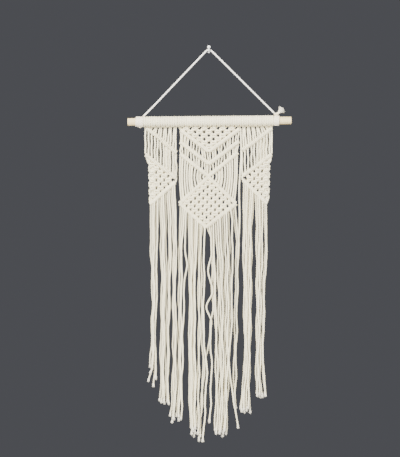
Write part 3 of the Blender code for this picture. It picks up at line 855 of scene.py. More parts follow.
def overhand(centre: Point3, size: Point3, turn: float = 0.0) -> list[Point3]:
    """Middle line of a small overhand knot.

    Args:
        centre: Its centre.
        size: Half its extent along X, Y and Z.
        turn: Turns it in the plane of the front, in radians.

    Returns:
        Points of an open trefoil.
    """
    points = []
    for step in range(KNOT_STEPS + 1):
        t = KNOT_OPENING + (2 * math.pi - 2 * KNOT_OPENING) * step / KNOT_STEPS
        x = (math.sin(t) + 2 * math.sin(2 * t)) / 3
        z = (math.cos(t) - 2 * math.cos(2 * t)) / 3
        y = -math.sin(3 * t)
        across = x * math.cos(turn) - z * math.sin(turn)
        up = x * math.sin(turn) + z * math.cos(turn)
        points.append((centre[0] + across * size[0], centre[1] + y * size[1], centre[2] + up * size[2]))
    return points


@dataclass
class Hanger:
    """The cord over the hook, with its turns and knots on the rod."""

    dowel: Dowel
    yarn: Yarn = field(default_factory=Yarn)
    diameter: float = 4.0
    route: tuple = (
        (-138.2, -12.5, -135.2),
        (-117.0, -11.1, -113.7),
        (-94.0, -9.7, -89.4),
        (-70.0, -8.3, -64.0),
        (-46.0, -6.8, -38.6),
        (-24.0, -5.5, -15.3),
        (-12.0, -4.7, -2.7),
        (-5.7, -4.2, 3.8),
        (-3.0, -4.0, 6.0),
        (0.0, -4.0, 6.7),
        (3.0, -4.0, 6.0),
        (5.7, -4.2, 3.9),
        (12.0, -4.7, -2.2),
        (24.0, -5.4, -14.1),
        (46.0, -6.8, -36.2),
        (70.0, -8.2, -60.3),
        (94.0, -9.7, -84.4),
        (117.0, -11.1, -107.5),
        (139.6, -12.5, -130.2),
    )
    wrap_span: Point2 = (-157.0, -138.7)
    wrap_turns: float = 4.45
    tie_span: Point2 = (136.8, 150.4)
    tie_turns: float = 3.45
    turn_distance: float = 9.65
    turn_radius: float = 2.2
    turn_thickness: float = 0.72
    turn_start: float = -80.0
    steps_per_turn: int = 16
    wrap_knot: Point3 = (-146.6, 270, 10.6)  # x, degrees round the rod, distance from its axis
    wrap_knot_size: Point3 = (3.4, 2.4, 1.7)
    wrap_knot_radius: float = 1.15
    tie_knot: Point3 = (144.0, -12.5, -132.9)
    tie_knot_size: Point3 = (4.3, 3.2, 3.8)
    tie_knot_radius: float = 1.75
    tie_knot_turn: float = 0.4
    neck_length: float = 8.0
    neck_radius: float = 1.9
    tuft_way: Point3 = (math.sin(math.radians(47)), -0.12, math.cos(math.radians(47)))
    tuft_start: float = 5.0
    tuft_length: float = 15.0
    # The hanger's left end: share of the route's first part above the rod, then x, degrees and distance
    # from the rod's axis under the turns
    arrival_share: float = 0.08
    arrival_x: float = -140.2
    arrival_angles: tuple = (110, 160)
    arrival_distance: float = 9.9

    def build_cord(self, cotton: bpy.types.Material) -> None:
        """The free cord, laid at its real length.

        Args:
            cotton: Its finish.
        """
        strands = StrandMesh(self.yarn)
        middle = strands.lay(self.route, 1.0, self.diameter / 2)
        piece = strands.make("hanger_cord_strand", cotton, "hanger_cotton", "hanger_cord")
        log.info("hanger cord: %.1f mm", line_length(middle))

    def turns(self, span: Point2, count: float) -> list[tuple]:
        """Line of a cord wound round the rod.

        Args:
            span: Left and right side of the winding, as seen from the front.
            count: Number of turns.

        Returns:
            Rows of the helix.
        """
        rows = []
        steps = round(count * self.steps_per_turn)
        for step in range(steps + 1):
            share = step / steps
            x = span[0] + self.turn_radius + (span[1] - span[0] - 2 * self.turn_radius) * share
            angle = self.turn_start + 360 * count * share
            place = self.dowel.round_it(x, angle, self.turn_distance)
            rows.append((*place, self.turn_radius, self.turn_thickness))
        return rows

    def build_ends(
        self, cotton: bpy.types.Material, frayed: bpy.types.Material, rng: np.random.Generator
    ) -> None:
        """Turns at both ends of the rod, the small knots, and the frayed free end.

        Args:
            cotton: Finish of the turns.
            frayed: Finish of the free end.
            rng: Source of the fibres' small differences.
        """
        left = StrandMesh(self.yarn)
        left.lay(self.turns(self.wrap_span, self.wrap_turns), 0.98)
        wrap_knot = overhand(self.dowel.round_it(*self.wrap_knot), self.wrap_knot_size)
        left.lay(wrap_knot, 0.96, self.wrap_knot_radius)
        left.lay(self.arrival(), 1.0, self.diameter / 2 - 0.05)
        left.make("hanger_wrap_turns", cotton, "hanger_cotton", "hanger_wrap")

        right = StrandMesh(self.yarn)
        right.lay(self.turns(self.tie_span, self.tie_turns), 0.99)
        tie_knot = overhand(self.tie_knot, self.tie_knot_size, self.tie_knot_turn)
        right.lay(tie_knot, 1.0, self.tie_knot_radius)
        knot, way = Vector(self.tie_knot), Vector(self.tuft_way)
        neck = [tuple(knot + way * (self.neck_length * share)) for share in (0.0, 0.5, 1.0)]
        right.lay(neck, 1.0, self.neck_radius)
        right.make("hanger_tie_turns", cotton, "hanger_cotton", "hanger_tie")

        tuft = FibreMesh(rng)
        start = tuple(knot + way * self.tuft_start)
        tuft.fray(start, way, self.tuft_length, spread=5.2, fibres=300, root=1.7, thickness=0.7)
        tuft.make("hanger_tie_tuft", frayed, "hanger_cotton", "hanger_tie")

    def arrival(self) -> list[Point3]:
        """Line of the hanger's left end, from just above the rod to under its turns.

        Returns:
            Its points.
        """
        under_turns = [
            self.dowel.round_it(self.arrival_x, angle, self.arrival_distance) for angle in self.arrival_angles
        ]
        end, above = np.array(self.route[0]), np.array(self.route[1])
        return [tuple(end + (above - end) * self.arrival_share), self.route[0], *under_turns]


# --- Knots ------------------------------------------------------------------------------------------------


@dataclass
class Heading:
    """Reverse lark's head knots round the rod, each a cord folded in half."""

    dowel: Dowel
    span: Point2
    folds: int
    leans: Point2 = (-0.12, 0.12)
    lean_turn: float = 40.0  # degrees
    prouds: Point2 = (-0.08, 0.1)
    tones: Point2 = (0.95, 1.03)
    # From where the cord hangs to the middle of its bight: degrees from the front over the top, distance
    # from the rod's axis, sideways place as a share of a quarter of the knot's width, the cord's radius,
    # and its thickness as a share of that
    turns: tuple = (
        (228, 9.7, 0.60, 1.75, 0.95),
        (205, 9.7, 0.72, 2.0, 0.8),
        (165, 9.7, 0.92, 2.4, 0.66),
        (125, 9.6, 1.0, 2.8, 0.58),
        (85, 9.6, 1.0, 2.95, 0.56),
        (45, 9.6, 1.0, 2.95, 0.56),
        (5, 9.6, 1.0, 2.95, 0.56),
        (-35, 9.6, 1.0, 2.9, 0.57),
        (-70, 9.7, 1.1, 2.3, 0.7),
        (-97, 10.2, 1.4, 1.8, 0.85),
        (-116, 11.4, 1.62, 1.5, 1.0),
        (-129, 12.6, 1.3, 1.6, 1.0),
        (-133, 13.1, 0.5, 1.7, 1.0),
    )

    def hang_x(self, cord: int) -> float:
        """Where a cord hangs from the heading.

        Args:
            cord: Its number from the left, two for each fold.

        Returns:
            Its x.
        """
        width = (self.span[1] - self.span[0]) / self.folds
        inner = self.turns[0][2] * width / 4
        return self.span[0] + width * (cord // 2 + 0.5) + (inner if cord % 2 else -inner)

    def leg(self, fold: int, side: int, rng: np.random.Generator) -> list[tuple]:
        """One half of a knot, from the hanging cord to the bight's middle.

        Args:
            fold: The knot's number from the left.
            side: -1 for its left half, 1 for its right half.
            rng: Source of small differences.

        Returns:
            Rows of x, y, z, radius and thickness.
        """
        width = (self.span[1] - self.span[0]) / self.folds
        middle = self.span[0] + width * (fold + 0.5)
        lean = rng.uniform(*self.leans)
        proud = rng.uniform(*self.prouds)
        rows = []
        for angle, distance, sideways, radius, thickness in self.turns:
            x = middle + side * sideways * width / 4 + lean * math.sin(math.radians(angle + self.lean_turn))
            rows.append((*self.dowel.round_it(x, angle, distance + proud), radius, thickness))
        return rows

    def lay(self, strands: StrandMesh, tails: list[list[tuple]], rng: np.random.Generator) -> None:
        """Lay every fold with the two tails that hang from it.

        Args:
            strands: The mesh that takes them.
            tails: For each cord its points below the heading, from the top down.
            rng: Source of small differences.
        """
        for fold in range(self.folds):
            left, right = tails[2 * fold], tails[2 * fold + 1]
            line = [*left[::-1], *self.leg(fold, -1, rng), *self.leg(fold, 1, rng)[::-1], *right]
            strands.lay(line, rng.uniform(*self.tones))


@dataclass
class HitchBar:
    """Row of double half hitches over a holding cord."""

    axis: tuple
    cords: int
    depth_y: float = PANEL_Y
    loop_distance: float = 3.15
    loop_radius: float = 1.6
    loop_angles: range = range(120, -481, -30)  # two loops, from behind over the top
    prouds: Point2 = (-0.2, 0.25)
    shifts: Point2 = (-0.3, 0.3)
    tones: Point2 = (0.96, 1.03)
    tuck: Point2 = (1.8, 0.4)  # how far a cord's ends go back and up or down
    holder_radius: float = 1.8
    holder_step: float = 12.0

    @property
    def length(self) -> float:
        """Length of the axis."""
        return sum(math.dist(a, b) for a, b in zip(self.axis, self.axis[1:]))

    def at(self, distance: float) -> tuple[Vector, Vector]:
        """Place on the axis.

        Args:
            distance: From the axis's first point, also before it or past the last one.

        Returns:
            The point and the direction there.
        """
        left = distance
        for (x0, z0), (x1, z1) in zip(self.axis, self.axis[1:]):
            span = math.dist((x0, z0), (x1, z1))
            if left <= span:
                break
            left -= span
        else:
            left += span
        way = Vector((x1 - x0, 0.0, z1 - z0)) / span
        return Vector((x0, self.depth_y, z0)) + way * left, way

    def station(self, cord: int) -> Vector:
        """Middle of one cord's two loops, counted along the axis."""
        return self.at((cord + 0.5) / self.cords * self.length)[0]

    def height(self, x: float) -> float:
        """Height of the axis at x, also a little past its ends.

        Args:
            x: Place from left to right.

        Returns:
            The height.
        """
        corners = sorted(self.axis)
        place = 0
        while place < len(corners) - 2 and x > corners[place + 1][0]:
            place += 1
        (x0, z0), (x1, z1) = corners[place : place + 2]
        return z0 + (z1 - z0) * (x - x0) / (x1 - x0)

    def lay(self, strands: StrandMesh, rng: np.random.Generator) -> None:
        """Lay the holding cord and two loops of each working cord.

        Args:
            strands: The mesh that takes them.
            rng: Source of small differences.
        """
        steps = max(2, round(self.length / self.holder_step))
        core = [tuple(self.at(self.length * step / steps)[0]) for step in range(steps + 1)]
        strands.lay(core, 0.97, self.holder_radius)
        spacing = self.length / self.cords
        front = Vector(FRONT)
        back, rise = self.tuck
        for cord in range(self.cords):
            middle = (cord + 0.5) * spacing
            proud = rng.uniform(*self.prouds)
            shift = rng.uniform(*self.shifts)
            rows = []
            for angle in self.loop_angles:
                centre, way = self.at(middle + shift + spacing * (-0.25 - angle / 720))
                up = way.cross(front)
                up = -up if up.z < 0 else up
                turn = math.radians(angle)
                spoke = front * math.cos(turn) + up * math.sin(turn)
                rows.append(centre + spoke * (self.loop_distance + proud))
            rows.insert(0, rows[0] + Vector((0.0, back, rise)))
            rows.append(rows[-1] + Vector((0.0, back, -rise)))
            strands.lay([tuple(row) for row in rows], rng.uniform(*self.tones), self.loop_radius)


@dataclass
class SquareKnot:
    """Two working cords tied round two filler cords, about its own centre: across, up, towards the front."""

    over: tuple = (
        (-4.6, 3.2, 0.3),
        (-3.2, 2.6, 2.5),
        (0.0, 2.15, 3.3),
        (3.4, 1.8, 2.3),
        (5.3, 0.0, -0.3),
        (3.4, -1.8, 2.3),
        (0.0, -2.15, 3.3),
        (-3.2, -2.6, 2.5),
        (-4.6, -3.2, 0.3),
    )
    under: tuple = (
        (4.6, 3.4, 1.0),
        (4.5, 2.0, 2.7),
        (3.9, 0.6, 0.4),
        (2.0, 0.7, -2.7),
        (-2.0, 0.6, -2.9),
        (-4.4, 0.4, -0.5),
        (-5.3, 0.0, 2.2),
        (-4.4, -1.1, -0.4),
        (-2.0, -1.2, -2.9),
        (2.0, -1.4, -2.8),
        (4.0, -1.6, -0.3),
        (4.6, -2.8, 1.7),
        (4.6, -3.6, 0.6),
    )
    filler: tuple = ((1.7, 3.8, -0.1), (1.6, 0.0, -0.4), (1.7, -3.8, -0.1))
    radius: float = 1.95
    filler_radius: float = 2.0


@dataclass
class KnotNet:
    """Net of square knots: steps lead down to the right and down to the left."""

    first: Point2
    right: Point2
    left: Point2
    knots: set
    depth_y: float = PANEL_Y
    pair_gap: float = 1.75
    leave_share: float = 0.36  # of the way to the neighbour, where a pair leaves the knot
    meet_share: float = 0.62
    open_shares: Point2 = (0.6, 0.98)  # of a pair with no neighbour
    turns: Point2 = (-0.08, 0.08)
    sizes: Point2 = (0.96, 1.04)
    tones: Point2 = (0.97, 1.03)
    knot: SquareKnot = field(default_factory=SquareKnot)

    def centre(self, knot: Knot) -> Point2:
        """Centre of a knot, given as its steps to the right and to the left.

        Args:
            knot: The steps from the first knot.

        Returns:
            Its x and z.
        """
        x = self.first[0] + knot[0] * self.right[0] + knot[1] * self.left[0]
        z = self.first[1] + knot[0] * self.right[1] + knot[1] * self.left[1]
        return x, z

    def step(self, corner: Corner) -> tuple[Knot, Point2]:
        """Neighbour beyond a corner.

        Args:
            corner: Corner of a knot.

        Returns:
            The steps to the neighbour, and the way to its centre.
        """
        if corner is Corner.UPPER_LEFT:
            return (-1, 0), (-self.right[0], -self.right[1])
        if corner is Corner.UPPER_RIGHT:
            return (0, -1), (-self.left[0], -self.left[1])
        if corner is Corner.LOWER_LEFT:
            return (0, 1), self.left
        return (1, 0), self.right

    def link(self, knot: Knot, corner: Corner, leads: dict) -> list[Point2]:
        """Middle line of the pair of cords that leaves a corner.

        Args:
            knot: The knot.
            corner: Its corner.
            leads: Lines for (knot, corner) where the pair leads out of the net.

        Returns:
            Points from the knot outwards.
        """
        x, z = self.centre(knot)
        (to_right, to_left), (dx, dz) = self.step(corner)
        near = (x + dx * self.leave_share, z + dz * self.leave_share)
        if (knot, corner) in leads:
            return [near, *leads[knot, corner]]
        joined = (knot[0] + to_right, knot[1] + to_left) in self.knots
        shares = (self.meet_share,) if joined else self.open_shares
        return [near, *((x + dx * share, z + dz * share) for share in shares)]

    def lay(self, strands: StrandMesh, leads: dict, rng: np.random.Generator) -> None:
        """Lay every knot with the pairs of cords that join it to its neighbours.

        Args:
            strands: The mesh that takes them.
            leads: Lines for (knot, corner) where a pair leads out of the net.
            rng: Source of small differences.
        """
        for knot in sorted(self.knots):
            x, z = self.centre(knot)
            turn = rng.uniform(*self.turns)
            size = rng.uniform(*self.sizes)

            def place(table: tuple, mirror: int = 1) -> list[Point3]:
                """Put a table's points round this knot's centre.

                Args:
                    table: Rows of across, up and towards the front.
                    mirror: -1 to mirror it from left to right.

                Returns:
                    The points.
                """
                rows = []
                for across, up, front in table:
                    across = across * mirror * size
                    up = up * size
                    flat = (
                        across * math.cos(turn) - up * math.sin(turn),
                        across * math.sin(turn) + up * math.cos(turn),
                    )
                    rows.append((x + flat[0], self.depth_y - front, z + flat[1]))
                return rows

            def pair(corner: Corner, outer: bool) -> list[Point3]:
                """One cord of the pair that leaves a corner.

                Args:
                    corner: The corner.
                    outer: Whether it is the pair's outer cord.

                Returns:
                    Its points, from the knot outwards.
                """
                across, up = corner.value
                sign = -across * up * (1 if outer else -1)
                line = offset_line(self.link(knot, corner, leads), sign * self.pair_gap)
                return [(a, self.depth_y + 0.3, b) for a, b in line]

            ends = {corner: (pair(corner, True), pair(corner, False)) for corner in Corner}
            for upper, lower, table, mirror, inner, radius in (
                (Corner.UPPER_LEFT, Corner.LOWER_LEFT, self.knot.over, 1, 0, self.knot.radius),
                (Corner.UPPER_RIGHT, Corner.LOWER_RIGHT, self.knot.under, 1, 0, self.knot.radius),
                (Corner.UPPER_LEFT, Corner.LOWER_LEFT, self.knot.filler, -1, 1, self.knot.filler_radius),
                (Corner.UPPER_RIGHT, Corner.LOWER_RIGHT, self.knot.filler, 1, 1, self.knot.filler_radius),
            ):
                line = [*ends[upper][inner][::-1], *place(table, mirror), *ends[lower][inner]]
                strands.lay(line, rng.uniform(*self.tones), radius)


def diamond_of(lines: int) -> set:
    """Knots of a full net with this many lines each way."""
    return {(i, j) for i in range(lines) for j in range(lines)}


# --- Panels -----------------------------------------------------------------------------------------------


def spread(start: float, end: float, count: int) -> list[float]:
    """Even values from start to end."""
    return [start + (end - start) * place / (count - 1) for place in range(count)]


SHIFTS = (-0.08, 0.08)  # sideways, of the pitch
DEPTH_SHIFTS = (-0.4, 0.4)
BEHIND_SHIFTS = (0.35, 0.65)
BEHIND_DEPTH = 3.4
BEHIND_DEPTH_SHIFTS = (-0.3, 0.3)


def tucked(start: float, end: float, count: int, behind: int, rng: np.random.Generator) -> list[Point2]:
    """Places of cords of which some hang behind their neighbours.

    Args:
        start: Place of the first cord.
        end: Place of the last cord.
        count: Number of cords.
        behind: How many of them hang behind.
        rng: Source of their order.

    Returns:
        For each cord its place and how far it hangs back.
    """
    front = spread(start, end, count - behind)
    pitch = abs(front[1] - front[0])
    chosen = sorted(rng.choice(np.arange(1, len(front) - 1), behind, replace=False))
    places = [(place + pitch * rng.uniform(*SHIFTS), rng.uniform(*DEPTH_SHIFTS)) for place in front]
    for number in chosen:
        place = front[number] + pitch * rng.uniform(*BEHIND_SHIFTS)
        places.append((place, BEHIND_DEPTH + rng.uniform(*BEHIND_DEPTH_SHIFTS)))
    return places


HANGING_STEP = 9.0
SWAY_LENGTHS = (26, 40)
DEPTH_SWAY = 0.5  # of the wave sideways
DEPTH_TURN = 5  # radians from end to end


def hanging(
    start: Point3, end: Point3, wave: float, rng: np.random.Generator, lean: float = 0.0
) -> list[Point3]:
    """Cord that hangs from one place to another with a little unrest.

    Args:
        start: Upper end.
        end: Lower end.
        wave: How far it strays sideways.
        rng: Source of its own shape.
        lean: How far its middle part slants to the right on the way down.

    Returns:
        Its points, from the top down.
    """
    span = start[2] - end[2]
    count = max(3, round(span / HANGING_STEP))
    phase = rng.uniform(0, 2 * math.pi)
    turns = max(0.5, span / rng.uniform(*SWAY_LENGTHS))
    points = []
    for place in range(count + 1):
        t = place / count
        fade = math.sin(math.pi * t)
        sway = wave * fade * math.sin(phase + 2 * math.pi * turns * t)
        slant = lean * (t - 0.5) * 2 * fade
        x = start[0] + (end[0] - start[0]) * t + sway + slant
        depth_sway = DEPTH_SWAY * wave * fade * math.cos(phase + DEPTH_TURN * t)
        y = start[1] + (end[1] - start[1]) * t + depth_sway
        points.append((x, y, start[2] + (end[2] - start[2]) * t))
    return points


@dataclass
class SidePanel:
    """Left or right panel: heading, drops, two bars and a half net."""

    side: Side
    heading: Heading
    upper: HitchBar
    middle: HitchBar
    lower: HitchBar
    between: Point2
    net: KnotNet
    rng: np.random.Generator
    edge_out: float = 4.3  # from the outer knots to the pairs' turns between them
    edge_leave: float = 5.4
    # Out and up from the net's top or lowest knot, and from the end of the bar that the pair runs to
    top_lead: tuple = ((7.0, 6.5), (-3.5, -2.0))
    foot_lead: tuple = ((5.0, -4.0), (-2.0, 1.0))
    tail_radius: float = 2.0
    tail_wave: float = 0.5
    tail_fall: float = 12.5  # from the rod's axis down to where the tails begin
    tail_foot: float = 1.0  # above a bar's axis, where they end
    edge_share: float = 0.5  # of its distance from the bar's end that the second tail from outside keeps
    drop_radius: float = 1.95
    drop_start: float = 2.0  # from a bar's axis
    drop_wave: float = 0.7
    drop_slants: Point2 = (-1.2, 1.2)
    drop_shifts: Point2 = (-0.6, 0.6)
    drop_tones: Point2 = (0.94, 1.02)
    drops_behind: int = 3
    turn_back_depths: Point2 = (0.6, -2.6)
    turn_back_radius: float = 1.9
    turn_back_way: Point3 = (7.0, 2.0, -1.5)  # how far inside each bar's inner end
    column_radius: float = 2.2

    @property
    def outward(self) -> int:
        """-1 on the left panel and 1 on the right one."""
        return -1 if self.side is Side.LEFT else 1

    def tails(self) -> list[list[tuple]]:
        """The cords below the heading.

        Returns:
            For each cord, from left to right, its rows from the top down.
        """
        tails = []
        for cord in range(CORDS_IN_SIDE_PANEL):
            from_outside = cord if self.side is Side.LEFT else CORDS_IN_SIDE_PANEL - 1 - cord
            x = self.heading.hang_x(cord)
            top = (x, PANEL_Y + TAIL_BACK, self.heading.dowel.height(x) - self.tail_fall)
            if from_outside == 0:
                foot_x, foot_z = self.middle.axis[0]
                foot = (foot_x, PANEL_Y, foot_z + self.tail_foot)
            elif from_outside == 1:
                foot_x, foot_z = self.upper.axis[0]
                foot = (foot_x + (x - foot_x) * self.edge_share, PANEL_Y, foot_z)
            else:
                foot = self.upper.station(from_outside - 2)
                foot = (foot.x, PANEL_Y + INTO_BAR, foot.z + self.tail_foot)
            line = hanging(top, foot, self.tail_wave, self.rng)
            tails.append([(*point, self.tail_radius, 1.0) for point in line])
        return tails

    def edge_leads(self) -> dict:
        """Lines of the pairs that run down the net's free side and out to the bars.

        Returns:
            For a knot and its corner, the points past it.
        """
        lines = max(i for i, _ in self.net.knots) + 1
        upper, lower = (Corner.UPPER_LEFT, Corner.LOWER_LEFT)
        if self.side is Side.RIGHT:
            upper, lower = (Corner.UPPER_RIGHT, Corner.LOWER_RIGHT)
        leads = {}
        for place in range(lines):
            x, z = self.net.centre((place, place))
            x_next, z_next = self.net.centre((place + 1, place + 1))
            bulge = (0.5 * (x + x_next) + self.outward * self.edge_out, 0.5 * (z + z_next))
            x_before, z_before = self.net.centre((place - 1, place - 1))
            bulge_before = (0.5 * (x + x_before) + self.outward * self.edge_out, 0.5 * (z + z_before))
            leave_x = x + self.outward * self.edge_leave
            leads[(place, place), lower] = [(leave_x, z - self.edge_leave), bulge]
            leads[(place, place), upper] = [(leave_x, z + self.edge_leave), bulge_before]
        x, z = self.net.centre((0, 0))
        bar_x, bar_z = self.middle.axis[0]
        (out, up), (bar_out, bar_up) = self.top_lead
        leads[(0, 0), upper] = [
            (x + self.outward * out, z + up),
            (bar_x + self.outward * bar_out, bar_z + bar_up),
        ]
        x, z = self.net.centre((lines - 1, lines - 1))
        bar_x, bar_z = self.lower.axis[-1]
        (out, up), (bar_out, bar_up) = self.foot_lead
        leads[(lines - 1, lines - 1), lower] = [
            (x + self.outward * out, z + up),
            (bar_x + self.outward * bar_out, bar_z + bar_up),
        ]
        return leads

    def turn_back(self, forward: float) -> list[tuple]:
        """Cord that turns round from the middle bar into the lower one.

        Args:
            forward: How far it lies in front of the panel.

        Returns:
            Its points.
        """
        places = [self.middle.at(self.middle.length - inside)[0] for inside in self.turn_back_way]
        places += [self.lower.at(inside)[0] for inside in self.turn_back_way[::-1]]
        return [(place.x, place.y - forward, place.z) for place in places]

    def build(self, cotton: bpy.types.Material) -> None:
        """Make the panel's pieces.

        Args:
            cotton: Their finish.
        """
        name = f"{self.side.value}_panel"
        knots = StrandMesh(Yarn())
        self.heading.lay(knots, self.tails(), self.rng)
        knots.make(f"{name}_heading", cotton, "cotton", name)

        bars = StrandMesh(Yarn())
        self.upper.lay(bars, self.rng)
        self.middle.lay(bars, self.rng)
        for forward in self.turn_back_depths:
            bars.lay(self.turn_back(forward), 1.0, self.turn_back_radius)
        bars.make(f"{name}_bars", cotton, "cotton", name)

        drops = StrandMesh(Yarn())
        for x, back in tucked(*self.between, CORDS_IN_SIDE_PANEL - 1, self.drops_behind, self.rng):
            y = PANEL_Y + DROP_BACK + back
            top = (x, y, self.upper.height(x) - self.drop_start)
            foot_x = x + self.rng.uniform(*self.drop_shifts)
            foot = (foot_x, y, self.middle.height(x) + self.drop_start)
            line = hanging(top, foot, self.drop_wave, self.rng, self.rng.uniform(*self.drop_slants))
            drops.lay(line, self.rng.uniform(*self.drop_tones), self.drop_radius)
        drops.make(f"{name}_drops", cotton, "cotton", name)

        net = StrandMesh(Yarn())
        self.net.lay(net, self.edge_leads(), self.rng)
        column = [self.net.centre((place, place)) for place in range(max(i for i, _ in self.net.knots) + 1)]
        net.lay([(x, PANEL_Y + INTO_BAR, z) for x, z in column], 0.97, self.column_radius)
        net.make(f"{name}_net", cotton, "cotton", name)


@dataclass
class CentrePanel:
    """Centre panel: heading, triangle net, three V bars, bowed cords and the diamond."""

    heading: Heading
    v_bars: list
    diamond_bars: list
    triangle: KnotNet
    diamond: KnotNet
    halves: tuple
    corners: dict
    rng: np.random.Generator
    tail_radius: float = 1.95
    tail_wave: float = 0.3
    tail_fall: float = 12.0
    tail_places: tuple = (-4.0, -1.5, 1.5, 4.0)  # where four tails enter a knot, from its centre
    tail_foot: Point2 = (0.2, 2.4)  # back and up from the knot's centre, where they enter
    top_lead: Point2 = (4.3, 3.6)  # out and up from the centre of a knot in the net's top row
    drop_radius: float = 1.6
    drop_start: float = 1.0  # from a V bar's axis
    drop_wave: float = 0.3
    drop_slants: Point2 = (-3.0, 3.0)
    drop_tones: Point2 = (0.94, 1.02)
    drop_inset: float = 1.4  # least distance from a V bar's end
    drops_behind: int = 3
    bow_radius: float = 1.85
    bow_depth: float = 4.6  # of the bow next to the crossing
    outer_bow_depth: float = 2.2
    bow_shares: Point2 = (0.1, 0.98)  # places of the bowed cords along a V bar's arm
    bow_crowding: float = 0.85
    bow_reach: float = 0.96
    bow_shifts: Point2 = (-0.3, 0.3)
    bow_tones: Point2 = (0.93, 1.02)
    bow_step: float = 10.0
    # Cord that hangs free along the right edge and joins the fringe: x, how far back, z
    edge_cord: tuple = (
        (67.6, 1.4, -160.0),
        (68.6, 1.2, -190.0),
        (68.9, 1.0, -220.0),
        (66.3, 0.8, -261.0),
        (64.6, 0.6, -293.0),
        (65.2, 1.0, -325.0),
        (65.6, 1.6, -352.0),
        (64.6, 3.0, -385.0),
        (63.0, 4.4, -412.0),
        (61.6, 5.0, -440.0),
    )

    def tails(self) -> list[list[tuple]]:
        """The cords below the heading.

        Returns:
            For each cord, from left to right, its rows from the top down.
        """
        tails = []
        last = CORDS_IN_CENTRE_PANEL - 1
        lines = max(i for i, _ in self.triangle.knots)
        back, up = self.tail_foot
        for cord in range(CORDS_IN_CENTRE_PANEL):
            x = self.heading.hang_x(cord)
            top = (x, PANEL_Y + TAIL_BACK, self.heading.dowel.height(x) - self.tail_fall)
            if 2 <= cord <= last - 2:
                knot = (cord - 2) // 4
                centre_x, centre_z = self.triangle.centre((knot, lines - knot))
                across = self.tail_places[(cord - 2) % 4]
                line = [top, (centre_x + across, PANEL_Y + back, centre_z + up)]
            else:
                arm = self.v_bars[0]
                place = {0: 0, 1: 1, last - 1: arm.cords - 2, last: arm.cords - 1}[cord]
                station = arm.station(place)
                line = hanging(top, (station.x, PANEL_Y + INTO_BAR, station.z), self.tail_wave, self.rng)
            tails.append([(*point, self.tail_radius, 1.0) for point in line])
        return tails

    def bowed(self) -> list[list[Point3]]:
        """Cords from the third V bar, bowed round the crossing, to the diamond's upper bars.

        Returns:
            The points of each.
        """
        left_end, apex, right_end = self.v_bars[-1].axis
        strands = []
        count = CORDS_IN_CENTRE_PANEL // 2 - 1
        least, most = self.bow_shares
        for side_end, corner, outward in (
            (left_end, self.corners["left"], -1),
            (right_end, self.corners["right"], 1),
        ):
            for place, back in tucked(0.0, 1.0, count, self.drops_behind, self.rng):
                share = least + (most - least) * min(max(place, 0.0), 1.0) ** self.bow_crowding
                start = [a + (b - a) * share for a, b in zip(apex, side_end)]
                end = [a + (b - a) * share * self.bow_reach for a, b in zip(self.corners["top"], corner)]
                bow = outward * (self.bow_depth * (1 - share) + self.outer_bow_depth * share)
                bow += self.rng.uniform(*self.bow_shifts)
                layer = PANEL_Y + DROP_BACK + back
                steps = max(4, round((start[1] - end[1]) / self.bow_step))
                points = []
                for step in range(steps + 1):
                    t = step / steps
                    x = start[0] + (end[0] - start[0]) * t + bow * math.sin(math.pi * t)
                    points.append((x, layer, start[1] + (end[1] - start[1]) * t))
                strands.append(points)
        return strands

    def drops(self, strands: StrandMesh) -> None:
        """Lay the cords between the V bars, the bowed cords and the free one at the edge.

        Args:
            strands: The mesh that takes them.
        """
        for above, below in zip(self.v_bars, self.v_bars[1:]):
            for half in self.halves:
                for x, back in tucked(*half, CORDS_IN_CENTRE_PANEL // 2, self.drops_behind, self.rng):
                    y = PANEL_Y + DROP_BACK + back
                    top_x, foot_x = (
                        min(max(x, bar.axis[0][0] + self.drop_inset), bar.axis[-1][0] - self.drop_inset)
                        for bar in (above, below)
                    )
                    top = (top_x, y, above.height(top_x) - self.drop_start)
                    foot = (foot_x, y, below.height(foot_x) + self.drop_start)
                    slant = self.rng.uniform(*self.drop_slants)
                    line = hanging(top, foot, self.drop_wave, self.rng, slant)
                    strands.lay(line, self.rng.uniform(*self.drop_tones), self.drop_radius)
        for line in self.bowed():
            strands.lay(line, self.rng.uniform(*self.bow_tones), self.bow_radius)
        strands.lay([(x, PANEL_Y + back, z) for x, back, z in self.edge_cord], 0.98, self.bow_radius)

    def build(self, cotton: bpy.types.Material) -> None:
        """Make the panel's pieces.

        Args:
            cotton: Their finish.
        """
        name = f"{Side.CENTRE.value}_panel"
        heading = StrandMesh(Yarn())
        self.heading.lay(heading, self.tails(), self.rng)
        heading.make(f"{name}_heading", cotton, "cotton", name)

        net = StrandMesh(Yarn())
        leads = {}
        out, up = self.top_lead
        fewest = min(i + j for i, j in self.triangle.knots)
        for knot in self.triangle.knots:
            if sum(knot) == fewest:
                x, z = self.triangle.centre(knot)
                leads[knot, Corner.UPPER_LEFT] = [(x - out, z + up)]
                leads[knot, Corner.UPPER_RIGHT] = [(x + out, z + up)]
        self.triangle.lay(net, leads, self.rng)
        net.make(f"{name}_net", cotton, "cotton", name)

        bars = StrandMesh(Yarn())
        for bar in (*self.v_bars, *self.diamond_bars):
            bar.lay(bars, self.rng)
        bars.make(f"{name}_bars", cotton, "cotton", name)

        drops = StrandMesh(Yarn())
        self.drops(drops)
        drops.make(f"{name}_drops", cotton, "cotton", name)

        diamond = StrandMesh(Yarn())
        self.diamond.lay(diamond, {}, self.rng)
        diamond.make(f"{name}_diamond", cotton, "cotton", name)


# --- Fringe -----------------------------------------------------------------------------------------------


@dataclass(frozen=True)
class Bundle:
    """Strands that hang together: the x of their left and right side at each fringe level and at the ends."""

    name: str
    strands: int
    first_level: Point2
    second_level: Point2
    third_level: Point2
    fourth_level: Point2
    ends: Point2
    end_heights: Point2


@dataclass(frozen=True)
class Swing:
    """A single strand's wave to the right, or to the left where it is negative."""

    name: str
    middle: float
    half_height: float
    to_right: float


